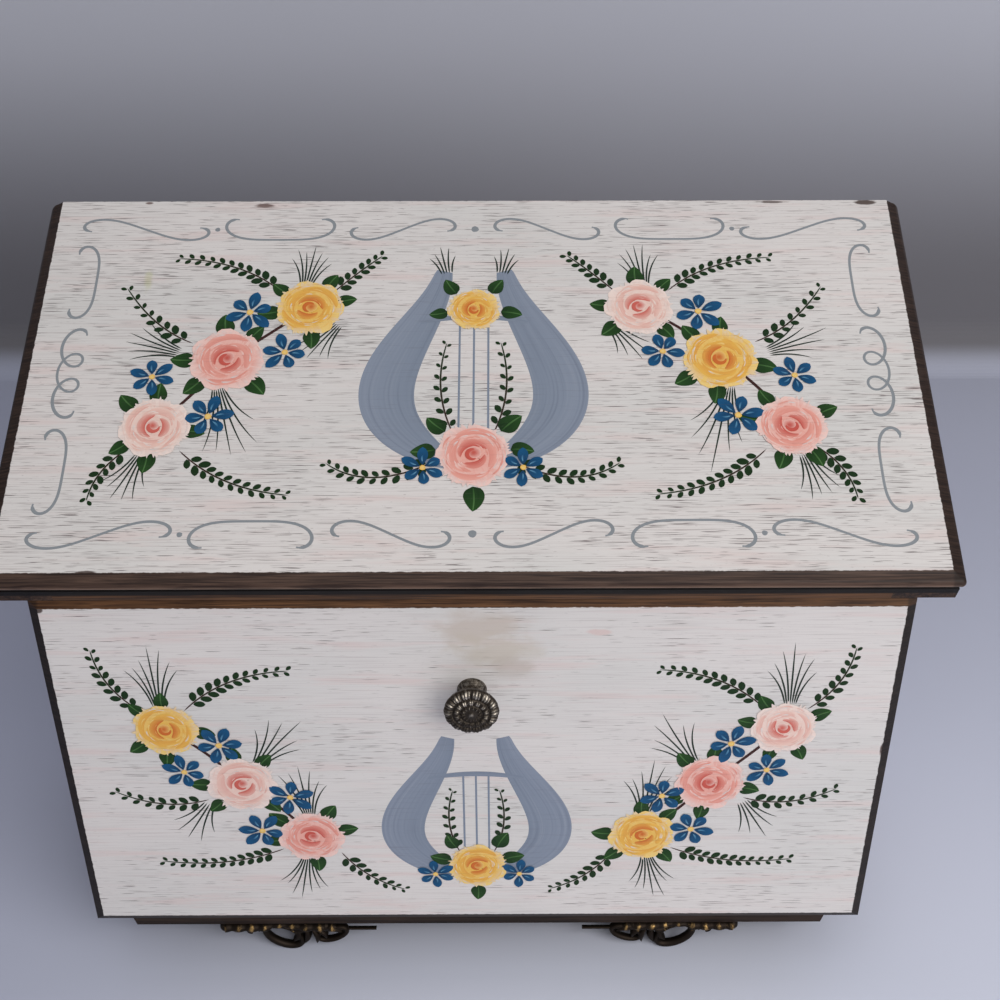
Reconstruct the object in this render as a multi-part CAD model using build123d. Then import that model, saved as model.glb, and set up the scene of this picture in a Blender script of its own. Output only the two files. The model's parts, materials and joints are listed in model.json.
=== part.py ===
from build123d import *
import math
import os

# A slant-lid musical jewelry box with a fall-front door, in millimetres.
# X runs to the right, Y to the back and Z up. The origin is on the table, at the middle of the whole box.

# Case
CASE_WIDTH = 280.0
CASE_DEPTH = 131.1
SIDE_THICKNESS = 9.0
BACK_THICKNESS = 8.0
BOTTOM_THICKNESS = 8.0
FRONT_RAIL_THICKNESS = 8.0
SHELF_THICKNESS = 6.0
SHELF_HEIGHT = 88.0
PARTITION_THICKNESS = 4.0
MOVEMENT_ROOM = 31.0
DIVIDER_THICKNESS = 4.0
DIVIDER_X = 40.0
DIVIDER_DROP = 14.0

# Plinth and feet
PLINTH_HEIGHT = 16.0
PLINTH_INSET = 9.0
PLINTH_SETBACK = 1.8
PLINTH_STRIP = 9.0
PLINTH_CHAMFER_IN = 1.2
PLINTH_CHAMFER_UP = 7.0
FOOT_HEIGHT = 14.4
FOOT_LENGTH = 60.0
FOOT_DEPTH = 6.4
FOOT_OUTER_X = 99.0
FOOT_PROUD = 1.7
FOOT_BAR = 4.8
FOOT_SCREW_AT = (0.12, 0.66)
FOOT_SCREW_IN = 3.9
FOOT_TAIL_TIP = 1.0
FOOT_HOLE = 1.1
# Shares of a foot's length and height: the bar's middle and span, each loop's middle and half-axes, its eye's
FOOT_BAR_MIDDLE = 0.4
FOOT_BAR_SPAN = 0.72
FOOT_TAIL_FROM = 0.7
FOOT_LOOP = (0.42, 0.5, 0.2, 0.54)
FOOT_LOOP_EYE = (0.4, 0.46, 0.116, 0.2)
FOOT_LOOP_TILT = -22
FOOT_CURL = (0.7, 0.6, 0.15, 0.38)
FOOT_CURL_EYE = (0.73, 0.56, 0.08, 0.13)
FOOT_CURL_TILT = 12
FOOT_CURL_EYE_TILT = 20
FOOT_LEAVES = (0.58, 0.5, 0.3)
FOOT_LEAVES_EYE = (0.585, 0.54)

# Fall-front door
DOOR_HEIGHT = 146.7
DOOR_THICKNESS = 9.0
DOOR_GAP = 0.4
DOOR_BEVEL_WIDTH = 3.0
DOOR_BEVEL_DEPTH = 1.5
DOOR_LINING_MARGIN = 14.0
KNOB_DROP = 36.5
KNOB_X = -0.8
KNOB_REACH = 13.5
KNOB_RADIUS = 9.0
KNOB_NECK = 3.5
KNOB_COLLAR = 1.2
KNOB_COLLAR_HEIGHT = 2.4
KNOB_NECK_HEIGHT = 5.0
KNOB_PETALS = 12
KNOB_NOTCH = 0.9
KNOB_NOTCH_OUT = 0.5
KNOB_NOTCH_FROM = 6.75
# Outline of the knob's head: shares of its radius and of its reach
KNOB_HEAD = ((0.62, 0.55), (0.96, 0.70), (1.0, 0.785), (0.9, 0.875), (0.5, 0.925), (0.26, 0.97), (0.2, 1.0))
KNOB_SCREW_RADIUS = 2.0
KNOB_SCREW_HEAD = 3.6
KNOB_SCREW_BITE = 6.0

# Lid
LID_SLOPE = 25.1
LID_BOARD = 6.6
LID_FRAME = 7.2
LID_TOP_FRONT_Y = -5.8
LID_RISE = 15.3
LID_OVERHANG_SIDE = 6.9
LID_BEVEL_OUT = 2.4
LID_BEVEL_DOWN = 0.8
LID_NOSE_OUT = 4.2
LID_NOSE_TOP = 2.0
LID_NOSE_BOTTOM = 3.9
LID_UNDERCUT = 2.2
LID_NOSE_EASE = 0.5
LID_FRAME_OUT_FRONT = 2.6
LID_FRAME_OUT_SIDE = 3.4
LID_FRAME_WIDTH = 20.0
LID_FRAME_CHAMFER = 0.8
MIRROR_THICKNESS = 2.0
MIRROR_GAP = 0.2
LID_SEAT_GAP = 0.3

# Hinges
DOOR_HINGE_LENGTH = 24.0
DOOR_HINGE_RADIUS = 1.5
DOOR_HINGE_PIN = 0.7
DOOR_HINGE_X = 92.0
DOOR_HINGE_LEAF = 12.0
DOOR_HINGE_CASE_LEAF = 7.0
LID_HINGE_LENGTH = 30.0
LID_HINGE_RADIUS = 1.6
LID_HINGE_PIN = 0.8
LID_HINGE_X = 88.0
LID_HINGE_LEAF = 12.0
LEAF_THICKNESS = 0.8
KNUCKLES = 5
KNUCKLE_GAP = 0.15
PIN_CLEARANCE = 0.05
KNUCKLE_CLEARANCE = 0.1
HINGE_SCREW_RADIUS = 0.9
HINGE_SCREW_HEAD = 1.7
HINGE_SCREW_LENGTH = 5.5
HINGE_SCREW_SPREAD = 0.3
LID_SCREW_RISE = 0.55
SCREW_FIT = 0.02
SIDES = (-1, 1)

# Catch
MAGNET_WIDTH = 18.0
MAGNET_HEIGHT = 8.0
MAGNET_DEPTH = 5.0
MAGNET_DROP = 10.0
STRIKE_THICKNESS = 0.8
STRIKE_MARGIN = 2.0

# Linings, ring rolls and hooks
LINING = 1.0
WELL_LINING_DROP = 10.0
ROLL_RADIUS = 6.0
ROLL_COUNT = 7
ROLL_GAP = 0.4
ROLL_HEIGHT = 14.0
HOOK_COUNT = 5
HOOK_PITCH = 48.0
HOOK_SETBACK = 30.0
HOOK_WIRE = 0.9
HOOK_DROP = 8.0
HOOK_BEND = 3.6
HOOK_PLATE = 3.2
HOOK_PLATE_THICKNESS = 1.0

# Musical movement
MOVEMENT_HEIGHT = 40.0
BEDPLATE_THICKNESS = 2.5
BEDPLATE_LEFT = 16.0
BEDPLATE_RIGHT = 46.0
BEDPLATE_DOWN = 27.0
BEDPLATE_UP = 28.0
HOUSING_RADIUS = 13.0
HOUSING_DEPTH = 9.0
HOUSING_WALL = 0.8
ARBOR_RADIUS = 1.6
ARBOR_HOLE = 3.0
SPRING_STRIP = 0.5
SPRING_TURNS = 6
SPRING_STEPS = 24
GEAR_MODULE = 0.5
WORM_MODULE = 0.4
CROWN_TEETH = 36
CROWN_PINION_TEETH = 12
GREAT_TEETH = 40
GOVERNOR_PINION_TEETH = 10
WORM_WHEEL_TEETH = 20
WORM_WHEEL_THICKNESS = 1.12
TOOTH_ADDENDUM = 0.45
TOOTH_ROOT = 0.65
TOOTH_SHARE = 0.36
CROWN_TOOTH_SHARE = 0.27
WHEEL_THICKNESS = 1.4
CROWN_FACE = 1.6
SHAFT_RADIUS = 0.8
SHAFT_CLEARANCE = 0.05
BEARING_WALL = 1.4
CYLINDER_RADIUS = 6.5
CYLINDER_WALL = 0.8
PIN_RADIUS = 0.22
PIN_HEIGHT = 0.6
TRACKS = 18
TRACK_PITCH = 1.2
PINS_PER_TRACK = 4
GOLDEN_TURN = 137.508
COMB_THICKNESS = 1.2
COMB_TOOTH = 0.8
COMB_REACH = 9.6
COMB_BASE = 9.0
COMB_CLEARANCE = 0.25
COMB_SCREW_SHARE = 0.6
COMB_SCREW = 1.05
COMB_SCREW_HEAD = 1.96
FAN_RADIUS = 5.5
FAN_BLADE = 4.0
FAN_SHEET = 0.5
WORM_RADIUS = 1.4
KEY_REACH = 15.0
KEY_GAP = 1.8
KEY_LOBE = 5.0
KEY_SPREAD = 6.0
KEY_THICKNESS = 2.2
KEY_EYE = 2.0
KEY_SHANK = 3.2
ROSETTE_RADIUS = 9.0
ROSETTE_THICKNESS = 0.8
STOP_RADIUS = 0.8
STOP_BEND = 2.0
STOP_X = 44.5
STOP_GAP = 0.4
STOP_SETBACK = 4.8
STOP_CLEARANCE = 0.2
MACHINE_SCREW = 1.5
MACHINE_HEAD = 2.8
MACHINE_HEAD_HEIGHT = 1.4
BLIND_WALL = 0.4

# Places worked out from the sizes above
FACE_Y = KNOB_REACH - (KNOB_REACH + CASE_DEPTH + KEY_REACH) / 2
BACK_Y = FACE_Y + CASE_DEPTH
CASE_FRONT_Y = FACE_Y + DOOR_THICKNESS + DOOR_GAP
BACK_IN_Y = BACK_Y - BACK_THICKNESS
CASE_Z = FOOT_HEIGHT + PLINTH_HEIGHT
FLOOR_Z = CASE_Z + BOTTOM_THICKNESS
SHELF_Z = CASE_Z + SHELF_HEIGHT
WELL_Z = SHELF_Z + SHELF_THICKNESS
DOOR_TOP_Z = CASE_Z + DOOR_HEIGHT
INNER_X = CASE_WIDTH / 2 - SIDE_THICKNESS
RAIL_IN_Y = CASE_FRONT_Y + FRONT_RAIL_THICKNESS
PARTITION_BACK_Y = BACK_IN_Y - MOVEMENT_ROOM
PARTITION_FRONT_Y = PARTITION_BACK_Y - PARTITION_THICKNESS
SLOPE_SIN = math.sin(math.radians(LID_SLOPE))
SLOPE_COS = math.cos(math.radians(LID_SLOPE))
LID_THICKNESS = LID_BOARD + LID_FRAME
LID_TOP_FRONT_Z = DOOR_HEIGHT + LID_RISE
LID_TOP_HALF_WIDTH = CASE_WIDTH / 2 + LID_OVERHANG_SIDE

# The lid is drawn flat: S runs up the slope from the white top's front edge, N is square to it.
# Its base plane is the underside of the frame.
LID_ORIGIN = (0, FACE_Y + LID_TOP_FRONT_Y + LID_THICKNESS * SLOPE_SIN,
              CASE_Z + LID_TOP_FRONT_Z - LID_THICKNESS * SLOPE_COS)
LID_PLANE = Plane(origin=LID_ORIGIN, x_dir=(1, 0, 0), z_dir=(0, -SLOPE_SIN, SLOPE_COS))
LID_BACK_BASE = (BACK_Y - LID_ORIGIN[1]) / SLOPE_COS
LID_HINGE_Y = BACK_Y + LID_HINGE_RADIUS + KNUCKLE_CLEARANCE
LID_HINGE_SCREW_X = (-HINGE_SCREW_SPREAD * LID_HINGE_LENGTH, HINGE_SCREW_SPREAD * LID_HINGE_LENGTH)
DOOR_HINGE_SCREW_X = (-HINGE_SCREW_SPREAD * DOOR_HINGE_LENGTH, HINGE_SCREW_SPREAD * DOOR_HINGE_LENGTH)
LID_HINGE_Z = LID_ORIGIN[2] + LID_BACK_BASE * SLOPE_SIN
DOOR_HINGE_Y = FACE_Y + DOOR_THICKNESS
DOOR_HINGE_Z = CASE_Z - DOOR_HINGE_RADIUS - KNUCKLE_CLEARANCE
KNOB_Z = DOOR_TOP_Z - KNOB_DROP
MOVEMENT_Z = FLOOR_Z + MOVEMENT_HEIGHT
BED_Y = BACK_IN_Y - BEDPLATE_THICKNESS
CROWN_TOP = HOUSING_DEPTH + 2 * HOUSING_WALL + WHEEL_THICKNESS
CROWN_RADIUS = GEAR_MODULE * CROWN_TEETH / 2 + CROWN_FACE / 2
PINION_PITCH = GEAR_MODULE * CROWN_PINION_TEETH / 2
AXLE_DEPTH = CROWN_TOP + TOOTH_ROOT + PINION_PITCH
GREAT_PITCH = GEAR_MODULE * GREAT_TEETH / 2
GOVERNOR_DROP = GREAT_PITCH + GEAR_MODULE * GOVERNOR_PINION_TEETH / 2
WORM_WHEEL_PITCH = WORM_MODULE * WORM_WHEEL_TEETH / 2
LEFT_BEARING_X = HOUSING_RADIUS + TOOTH_ADDENDUM
CYLINDER_X = LEFT_BEARING_X + BEARING_WALL + TOOTH_ADDENDUM
CYLINDER_LENGTH = TRACKS * TRACK_PITCH + 2 * TRACK_PITCH
GREAT_X = CYLINDER_X + CYLINDER_LENGTH + TOOTH_ADDENDUM
RIGHT_BEARING_X = GREAT_X + WHEEL_THICKNESS + 2 * TOOTH_ADDENDUM
FAN_X = GREAT_X - FAN_RADIUS
WORM_DROP = GOVERNOR_DROP + WORM_WHEEL_PITCH + TOOTH_ADDENDUM + SHAFT_CLEARANCE + WORM_RADIUS
FAN_DEPTH = AXLE_DEPTH + WORM_WHEEL_PITCH + 2 * TOOTH_ADDENDUM
GOVERNOR_POST_X = FAN_X - FAN_RADIUS - BEARING_WALL - TOOTH_ADDENDUM
STOP_Y = BED_Y - STOP_SETBACK
STOP_WAY = STOP_RADIUS + STOP_CLEARANCE


def block(x0, x1, y0, y1, z0, z1):
    """A plain board between two corners."""
    return Pos((x0 + x1) / 2, (y0 + y1) / 2, (z0 + z1) / 2) * Box(x1 - x0, y1 - y0, z1 - z0)


def bar_x(x0, x1, y, z, radius):
    """A round bar along X."""
    return Pos((x0 + x1) / 2, y, z) * Rot(0, 90, 0) * Cylinder(radius, x1 - x0)


def bar_y(x, y0, y1, z, radius):
    """A round bar along Y."""
    return Pos(x, (y0 + y1) / 2, z) * Rot(90, 0, 0) * Cylinder(radius, y1 - y0)


def bar_z(x, y, z0, z1, radius):
    """A round bar along Z."""
    return Pos(x, y, (z0 + z1) / 2) * Cylinder(radius, z1 - z0)


def hinge_screw(at, out, fit, length=HINGE_SCREW_LENGTH):
    """One of the small brass screws of the hinges and feet, its head facing along out."""
    return driven(at, out, HINGE_SCREW_HEAD, HINGE_SCREW_RADIUS, length, fit)


def screw(head_radius, radius, length, fit=0.0):
    """A countersunk screw along -Z, with its flat head at the origin."""
    head = head_radius - radius
    cone = Pos(0, 0, -head / 2) * Cone(radius + fit, head_radius + fit, head)
    shank = Pos(0, 0, -(head + length) / 2) * Cylinder(radius + fit, length - head)
    return cone + shank


def driven(at, out, head_radius, radius, length, fit=0.0):
    """A countersunk screw whose head faces along the direction out."""
    return Plane(origin=at, z_dir=out) * screw(head_radius, radius, length, fit)


def cut_all(shape, tools):
    """Take each tool away from the shape."""
    for tool in tools:
        shape -= tool
    return shape


def group(solids):
    """Separate solids that share one file."""
    return Compound(children=list(solids))


def under_lid(shape, gap):
    """Trim a case piece so that it ends a gap below the lid."""
    reach = 2 * CASE_WIDTH
    air = LID_PLANE * (Pos(0, 0, reach / 2 - gap) * Box(reach, reach, reach))
    return shape - air


def toothed_wheel(teeth, module, thickness, bore):
    """A spur wheel with narrow straight teeth; its first tooth points along +X."""
    pitch = module * teeth / 2
    wheel = Cylinder(pitch - TOOTH_ROOT, thickness)
    width = math.pi * module * TOOTH_SHARE
    depth = 2 * (TOOTH_ROOT + TOOTH_ADDENDUM) - width / 2
    tooth = Pos(pitch - TOOTH_ROOT, 0, 0) * Box(depth, width, thickness)
    tip = Pos(pitch + TOOTH_ADDENDUM - width / 2, 0, 0) * Box(width, width / 2, thickness)
    for index in range(teeth):
        wheel += Rot(0, 0, 360 * index / teeth) * tooth
        wheel += Rot(0, 0, 360 * index / teeth) * tip
    return wheel - Cylinder(bore, 2 * thickness)


def case_screws(fit=0.0):
    """Screws of the hinge leaves that stay on the case."""
    found = []
    for side in SIDES:
        for shift in LID_HINGE_SCREW_X:
            at = (side * LID_HINGE_X + shift, BACK_Y + LEAF_THICKNESS, LID_HINGE_Z - LID_HINGE_LEAF / 2)
            found.append(hinge_screw(at, (0, 1, 0), fit))
        for shift in DOOR_HINGE_SCREW_X:
            at = (side * DOOR_HINGE_X + shift, CASE_FRONT_Y, CASE_Z + DOOR_HINGE_CASE_LEAF / 2)
            found.append(hinge_screw(at, (0, -1, 0), fit))
    return found


def lid_screws(fit=0.0):
    """Screws of the hinge leaves on the lid's back edge."""
    found = []
    for side in SIDES:
        for shift in LID_HINGE_SCREW_X:
            at = (side * LID_HINGE_X + shift, BACK_Y + LEAF_THICKNESS,
                  LID_HINGE_Z + LID_HINGE_LEAF * LID_SCREW_RISE)
            found.append(hinge_screw(at, (0, 1, 0), fit))
    return found


def door_screws(fit=0.0):
    """Screws of the hinge leaves let into the door's inner face."""
    found = []
    for side in SIDES:
        for shift in DOOR_HINGE_SCREW_X:
            at = (side * DOOR_HINGE_X + shift, DOOR_HINGE_Y, CASE_Z + DOOR_HINGE_LEAF / 2)
            found.append(hinge_screw(at, (0, 1, 0), fit))
    return found


def movement_screws(fit=0.0):
    """Round-head screws that hold the bedplate from outside the back."""
    found = []
    inset = 2 * MACHINE_HEAD
    places = [(-BEDPLATE_LEFT + inset, -BEDPLATE_DOWN + inset), (BEDPLATE_RIGHT / 2, BEDPLATE_UP - inset / 2),
              (-BEDPLATE_LEFT + inset, BEDPLATE_UP - inset)]
    for x, drop in places:
        z = MOVEMENT_Z + drop
        shank = bar_y(x, BED_Y + BLIND_WALL, BACK_Y, z, MACHINE_SCREW + fit)
        head = bar_y(x, BACK_Y, BACK_Y + MACHINE_HEAD_HEIGHT, z, MACHINE_HEAD)
        found.append(shank + head)
    return found


def hinge_seats():
    """Pockets in the case for the door hinges' case leaves."""
    half = DOOR_HINGE_LENGTH / 2
    return [block(side * DOOR_HINGE_X - half, side * DOOR_HINGE_X + half, CASE_FRONT_Y,
                  CASE_FRONT_Y + LEAF_THICKNESS, CASE_Z, CASE_Z + DOOR_HINGE_CASE_LEAF) for side in SIDES]


def magnet():
    """The catch's magnet, let into the front rail."""
    z = DOOR_TOP_Z - MAGNET_DROP
    return block(-MAGNET_WIDTH / 2, MAGNET_WIDTH / 2, CASE_FRONT_Y, CASE_FRONT_Y + MAGNET_DEPTH,
                 z - MAGNET_HEIGHT / 2, z + MAGNET_HEIGHT / 2)


def strike():
    """The catch's plate, let into the door."""
    z = DOOR_TOP_Z - MAGNET_DROP
    half = MAGNET_WIDTH / 2 - STRIKE_MARGIN
    rise = MAGNET_HEIGHT / 2 - STRIKE_MARGIN / 2
    return block(-half, half, DOOR_HINGE_Y - STRIKE_THICKNESS, DOOR_HINGE_Y, z - rise, z + rise)


def make_case():
    """Boards of the case."""
    top_z = LID_HINGE_Z + LID_THICKNESS
    stop_way = bar_z(STOP_X, STOP_Y, SHELF_Z, WELL_Z, STOP_WAY)
    parts = {}
    for name, side in (("side_left", -1), ("side_right", 1)):
        inner = side * INNER_X
        outer = side * CASE_WIDTH / 2
        board = block(min(inner, outer), max(inner, outer), CASE_FRONT_Y, BACK_Y, CASE_Z, top_z)
        parts[name] = under_lid(board, LID_SEAT_GAP)
    bottom = block(-INNER_X, INNER_X, CASE_FRONT_Y, BACK_IN_Y, CASE_Z, FLOOR_Z)
    parts["bottom_board"] = cut_all(bottom, hinge_seats() + case_screws(SCREW_FIT))
    back = under_lid(block(-INNER_X, INNER_X, BACK_IN_Y, BACK_Y, CASE_Z, top_z), LID_SEAT_GAP)
    holes = case_screws(SCREW_FIT) + movement_screws(SCREW_FIT)
    holes.append(bar_y(0, BACK_IN_Y, BACK_Y, MOVEMENT_Z, ARBOR_HOLE))
    parts["back_board"] = cut_all(back, holes)
    rail = block(-INNER_X, INNER_X, CASE_FRONT_Y, RAIL_IN_Y, SHELF_Z, top_z)
    parts["front_rail"] = under_lid(rail, LID_SEAT_GAP) - magnet()
    parts["shelf_board"] = block(-INNER_X, INNER_X, RAIL_IN_Y, BACK_IN_Y, SHELF_Z, WELL_Z) - stop_way
    parts["partition_board"] = block(-INNER_X, INNER_X, PARTITION_FRONT_Y, PARTITION_BACK_Y, FLOOR_Z, SHELF_Z)
    return parts


def make_plinth():
    """Four mitred strips with a sloped lower edge."""
    half_x = CASE_WIDTH / 2 - PLINTH_INSET
    front = CASE_FRONT_Y + PLINTH_SETBACK
    back = BACK_Y - PLINTH_SETBACK
    middle = (front + back) / 2
    depth = back - front
    upper = Pos(0, middle, (FOOT_HEIGHT + PLINTH_CHAMFER_UP + CASE_Z) / 2) * Box(
        2 * half_x, depth, PLINTH_HEIGHT - PLINTH_CHAMFER_UP)
    low = Plane(origin=(0, middle, FOOT_HEIGHT)) * Rectangle(
        2 * (half_x - PLINTH_CHAMFER_IN), depth - 2 * PLINTH_CHAMFER_IN)
    high = Plane(origin=(0, middle, FOOT_HEIGHT + PLINTH_CHAMFER_UP)) * Rectangle(2 * half_x, depth)
    ring = upper + loft([low, high])
    ring -= block(-half_x + PLINTH_STRIP, half_x - PLINTH_STRIP, front + PLINTH_STRIP, back - PLINTH_STRIP,
                  FOOT_HEIGHT, CASE_Z)
    near = depth / 2
    end = half_x - near
    corners = {
        "plinth_front": [(-half_x, front), (half_x, front), (end, middle), (-end, middle)],
        "plinth_back": [(-half_x, back), (half_x, back), (end, middle), (-end, middle)],
        "plinth_left": [(-half_x, front), (-half_x, back), (-end, middle)],
        "plinth_right": [(half_x, front), (half_x, back), (end, middle)],
    }
    parts = {}
    for name, points in corners.items():
        wedge = extrude(Polygon(*points, align=None), 2 * CASE_Z, both=True)
        parts[name] = ring & wedge
    return parts


def foot_oval(place, tilt):
    """An oval of a foot's drawing, from shares of the foot's length and height."""
    across, up, half_length, half_height = place
    oval = Ellipse(FOOT_LENGTH * half_length, FOOT_HEIGHT * half_height)
    return Pos(FOOT_LENGTH * across, FOOT_HEIGHT * up) * Rot(0, 0, tilt) * oval


def foot_outline():
    """One openwork foot seen from the front: U runs inwards from its round end, V runs up."""
    bar_v = FOOT_HEIGHT - FOOT_BAR / 2
    tail_start = FOOT_LENGTH * FOOT_TAIL_FROM
    shape = Pos(FOOT_LENGTH * FOOT_BAR_MIDDLE, bar_v) * Rectangle(FOOT_LENGTH * FOOT_BAR_SPAN, FOOT_BAR)
    shape += Pos(FOOT_BAR / 2, bar_v) * Circle(FOOT_BAR / 2)
    shape += Polygon((tail_start, FOOT_HEIGHT - FOOT_BAR), (FOOT_LENGTH, FOOT_HEIGHT - FOOT_TAIL_TIP),
                     (FOOT_LENGTH, FOOT_HEIGHT), (tail_start, FOOT_HEIGHT), align=None)
    shape += foot_oval(FOOT_LOOP, 0)
    shape += foot_oval(FOOT_CURL, FOOT_CURL_TILT)
    leaves = Circle(FOOT_HEIGHT * FOOT_LEAVES[2])
    shape += Pos(FOOT_LENGTH * FOOT_LEAVES[0], FOOT_HEIGHT * FOOT_LEAVES[1]) * leaves
    shape -= foot_oval(FOOT_LOOP_EYE, FOOT_LOOP_TILT)
    shape -= foot_oval(FOOT_CURL_EYE, FOOT_CURL_EYE_TILT)
    shape -= Pos(FOOT_LENGTH * FOOT_LEAVES_EYE[0], FOOT_HEIGHT * FOOT_LEAVES_EYE[1]) * Circle(FOOT_HOLE)
    keep = Pos(FOOT_LENGTH / 2, FOOT_HEIGHT / 2) * Rectangle(FOOT_LENGTH, FOOT_HEIGHT)
    return shape & keep


def foot_screws(side, screw_y, fit=0.0):
    """Two screws up through one foot's bar into the plinth."""
    found = []
    for share in FOOT_SCREW_AT:
        x = side * (FOOT_OUTER_X - FOOT_LENGTH * share)
        at = (x, screw_y, FOOT_HEIGHT - FOOT_BAR)
        found.append(hinge_screw(at, (0, 0, -1), fit, FOOT_BAR + HINGE_SCREW_LENGTH))
    return found


def make_feet(plinth):
    """Four feet, each a pierced casting under the plinth, and their screws."""
    parts = {}
    screws = []
    inset = PLINTH_SETBACK + PLINTH_CHAMFER_IN - FOOT_PROUD
    places = {
        "foot_front_left": (-1, CASE_FRONT_Y + inset, 1, "plinth_front"),
        "foot_front_right": (1, CASE_FRONT_Y + inset, 1, "plinth_front"),
        "foot_back_left": (-1, BACK_Y - inset, -1, "plinth_back"),
        "foot_back_right": (1, BACK_Y - inset, -1, "plinth_back"),
    }
    for name, (side, face_y, inward, strip) in places.items():
        middle = (side * FOOT_OUTER_X, face_y + inward * FOOT_DEPTH / 2, 0)
        screw_y = face_y + inward * FOOT_SCREW_IN
        plane = Plane(origin=middle, x_dir=(-side, 0, 0), z_dir=(0, side, 0))
        foot = extrude(plane * foot_outline(), FOOT_DEPTH / 2, both=True)
        holes = foot_screws(side, screw_y, SCREW_FIT)
        parts[name] = cut_all(foot, holes)
        plinth[strip] = cut_all(plinth[strip], holes)
        screws += foot_screws(side, screw_y)
    parts["foot_screws"] = group(screws)
    return parts


def make_door():
    """The fall-front door, its knob, lining and catch plate."""
    bevel_y = FACE_Y + DOOR_BEVEL_DEPTH
    middle_z = (CASE_Z + DOOR_TOP_Z) / 2
    slab = block(-CASE_WIDTH / 2, CASE_WIDTH / 2, bevel_y, DOOR_HINGE_Y, CASE_Z, DOOR_TOP_Z)
    face = Plane(origin=(0, FACE_Y, middle_z), x_dir=(1, 0, 0), z_dir=(0, -1, 0))
    edge = Plane(origin=(0, bevel_y, middle_z), x_dir=(1, 0, 0), z_dir=(0, -1, 0))
    field = face * Rectangle(CASE_WIDTH - 2 * DOOR_BEVEL_WIDTH, DOOR_HEIGHT - 2 * DOOR_BEVEL_WIDTH)
    slab += loft([edge * Rectangle(CASE_WIDTH, DOOR_HEIGHT), field])
    half = DOOR_HINGE_LENGTH / 2
    for side in SIDES:
        x = side * DOOR_HINGE_X
        slab -= block(x - half, x + half, DOOR_HINGE_Y - LEAF_THICKNESS, DOOR_HINGE_Y,
                      CASE_Z, CASE_Z + DOOR_HINGE_LEAF)
    knob_way = driven((KNOB_X, DOOR_HINGE_Y, KNOB_Z), (0, 1, 0), KNOB_SCREW_HEAD, KNOB_SCREW_RADIUS,
                      DOOR_THICKNESS + KNOB_SCREW_BITE, SCREW_FIT)
    lining = block(-CASE_WIDTH / 2 + DOOR_LINING_MARGIN, CASE_WIDTH / 2 - DOOR_LINING_MARGIN,
                   DOOR_HINGE_Y - LINING, DOOR_HINGE_Y, CASE_Z + DOOR_LINING_MARGIN,
                   SHELF_Z - DOOR_LINING_MARGIN / 2)
    parts = {
        "door_panel": cut_all(slab, [strike(), lining, knob_way] + door_screws(SCREW_FIT)),
        "door_lining": lining,
        "catch_strike": strike(),
        "catch_magnet": magnet(),
        "door_hinge_screws": group(door_screws()),
        "knob_screw": driven((KNOB_X, DOOR_HINGE_Y, KNOB_Z), (0, 1, 0), KNOB_SCREW_HEAD, KNOB_SCREW_RADIUS,
                             DOOR_THICKNESS + KNOB_SCREW_BITE - SCREW_FIT),
        "door_knob": make_knob() - knob_way,
    }
    return parts


def make_knob():
    """A round rosette knob turned about Y, with a petalled rim."""
    outline = [(0, 0), (KNOB_NECK + KNOB_COLLAR, 0), (KNOB_NECK, KNOB_COLLAR_HEIGHT),
               (KNOB_NECK, KNOB_NECK_HEIGHT)]
    outline += [(KNOB_RADIUS * out, KNOB_REACH * rise) for out, rise in KNOB_HEAD]
    outline.append((0, KNOB_REACH))
    profile = Plane.XZ * Polygon(*outline, align=None)
    turned = revolve(profile, Axis.Z)
    for index in range(KNOB_PETALS):
        angle = 2 * math.pi * (index + 0.5) / KNOB_PETALS
        reach = KNOB_RADIUS + KNOB_NOTCH_OUT
        turned -= bar_z(reach * math.cos(angle), reach * math.sin(angle), KNOB_NOTCH_FROM, KNOB_REACH,
                        KNOB_NOTCH)
    return Pos(KNOB_X, FACE_Y, KNOB_Z) * Rot(90, 0, 0) * turned


def lid_profile(half):
    """The moulded board's section: out along U, up along N, mirrored about the middle when half is set."""
    top = LID_THICKNESS
    eased = LID_NOSE_EASE - LID_NOSE_OUT
    nose = [(0, top), (-LID_BEVEL_OUT, top - LID_BEVEL_DOWN), (eased, top - LID_BEVEL_DOWN - LID_NOSE_EASE),
            (-LID_NOSE_OUT, top - LID_NOSE_TOP), (-LID_NOSE_OUT, top - LID_NOSE_BOTTOM),
            (eased, top - LID_NOSE_BOTTOM - LID_NOSE_EASE), (-LID_UNDERCUT, LID_FRAME + LID_NOSE_EASE),
            (-LID_UNDERCUT, LID_FRAME)]
    if half:
        left = [(u - half, n) for u, n in nose]
        right = [(half - u, n) for u, n in reversed(nose)]
        return left + right
    slant = SLOPE_SIN / SLOPE_COS
    back = [(LID_BACK_BASE + LID_FRAME * slant, LID_FRAME), (LID_BACK_BASE + top * slant, top)]
    return nose + back


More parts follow.
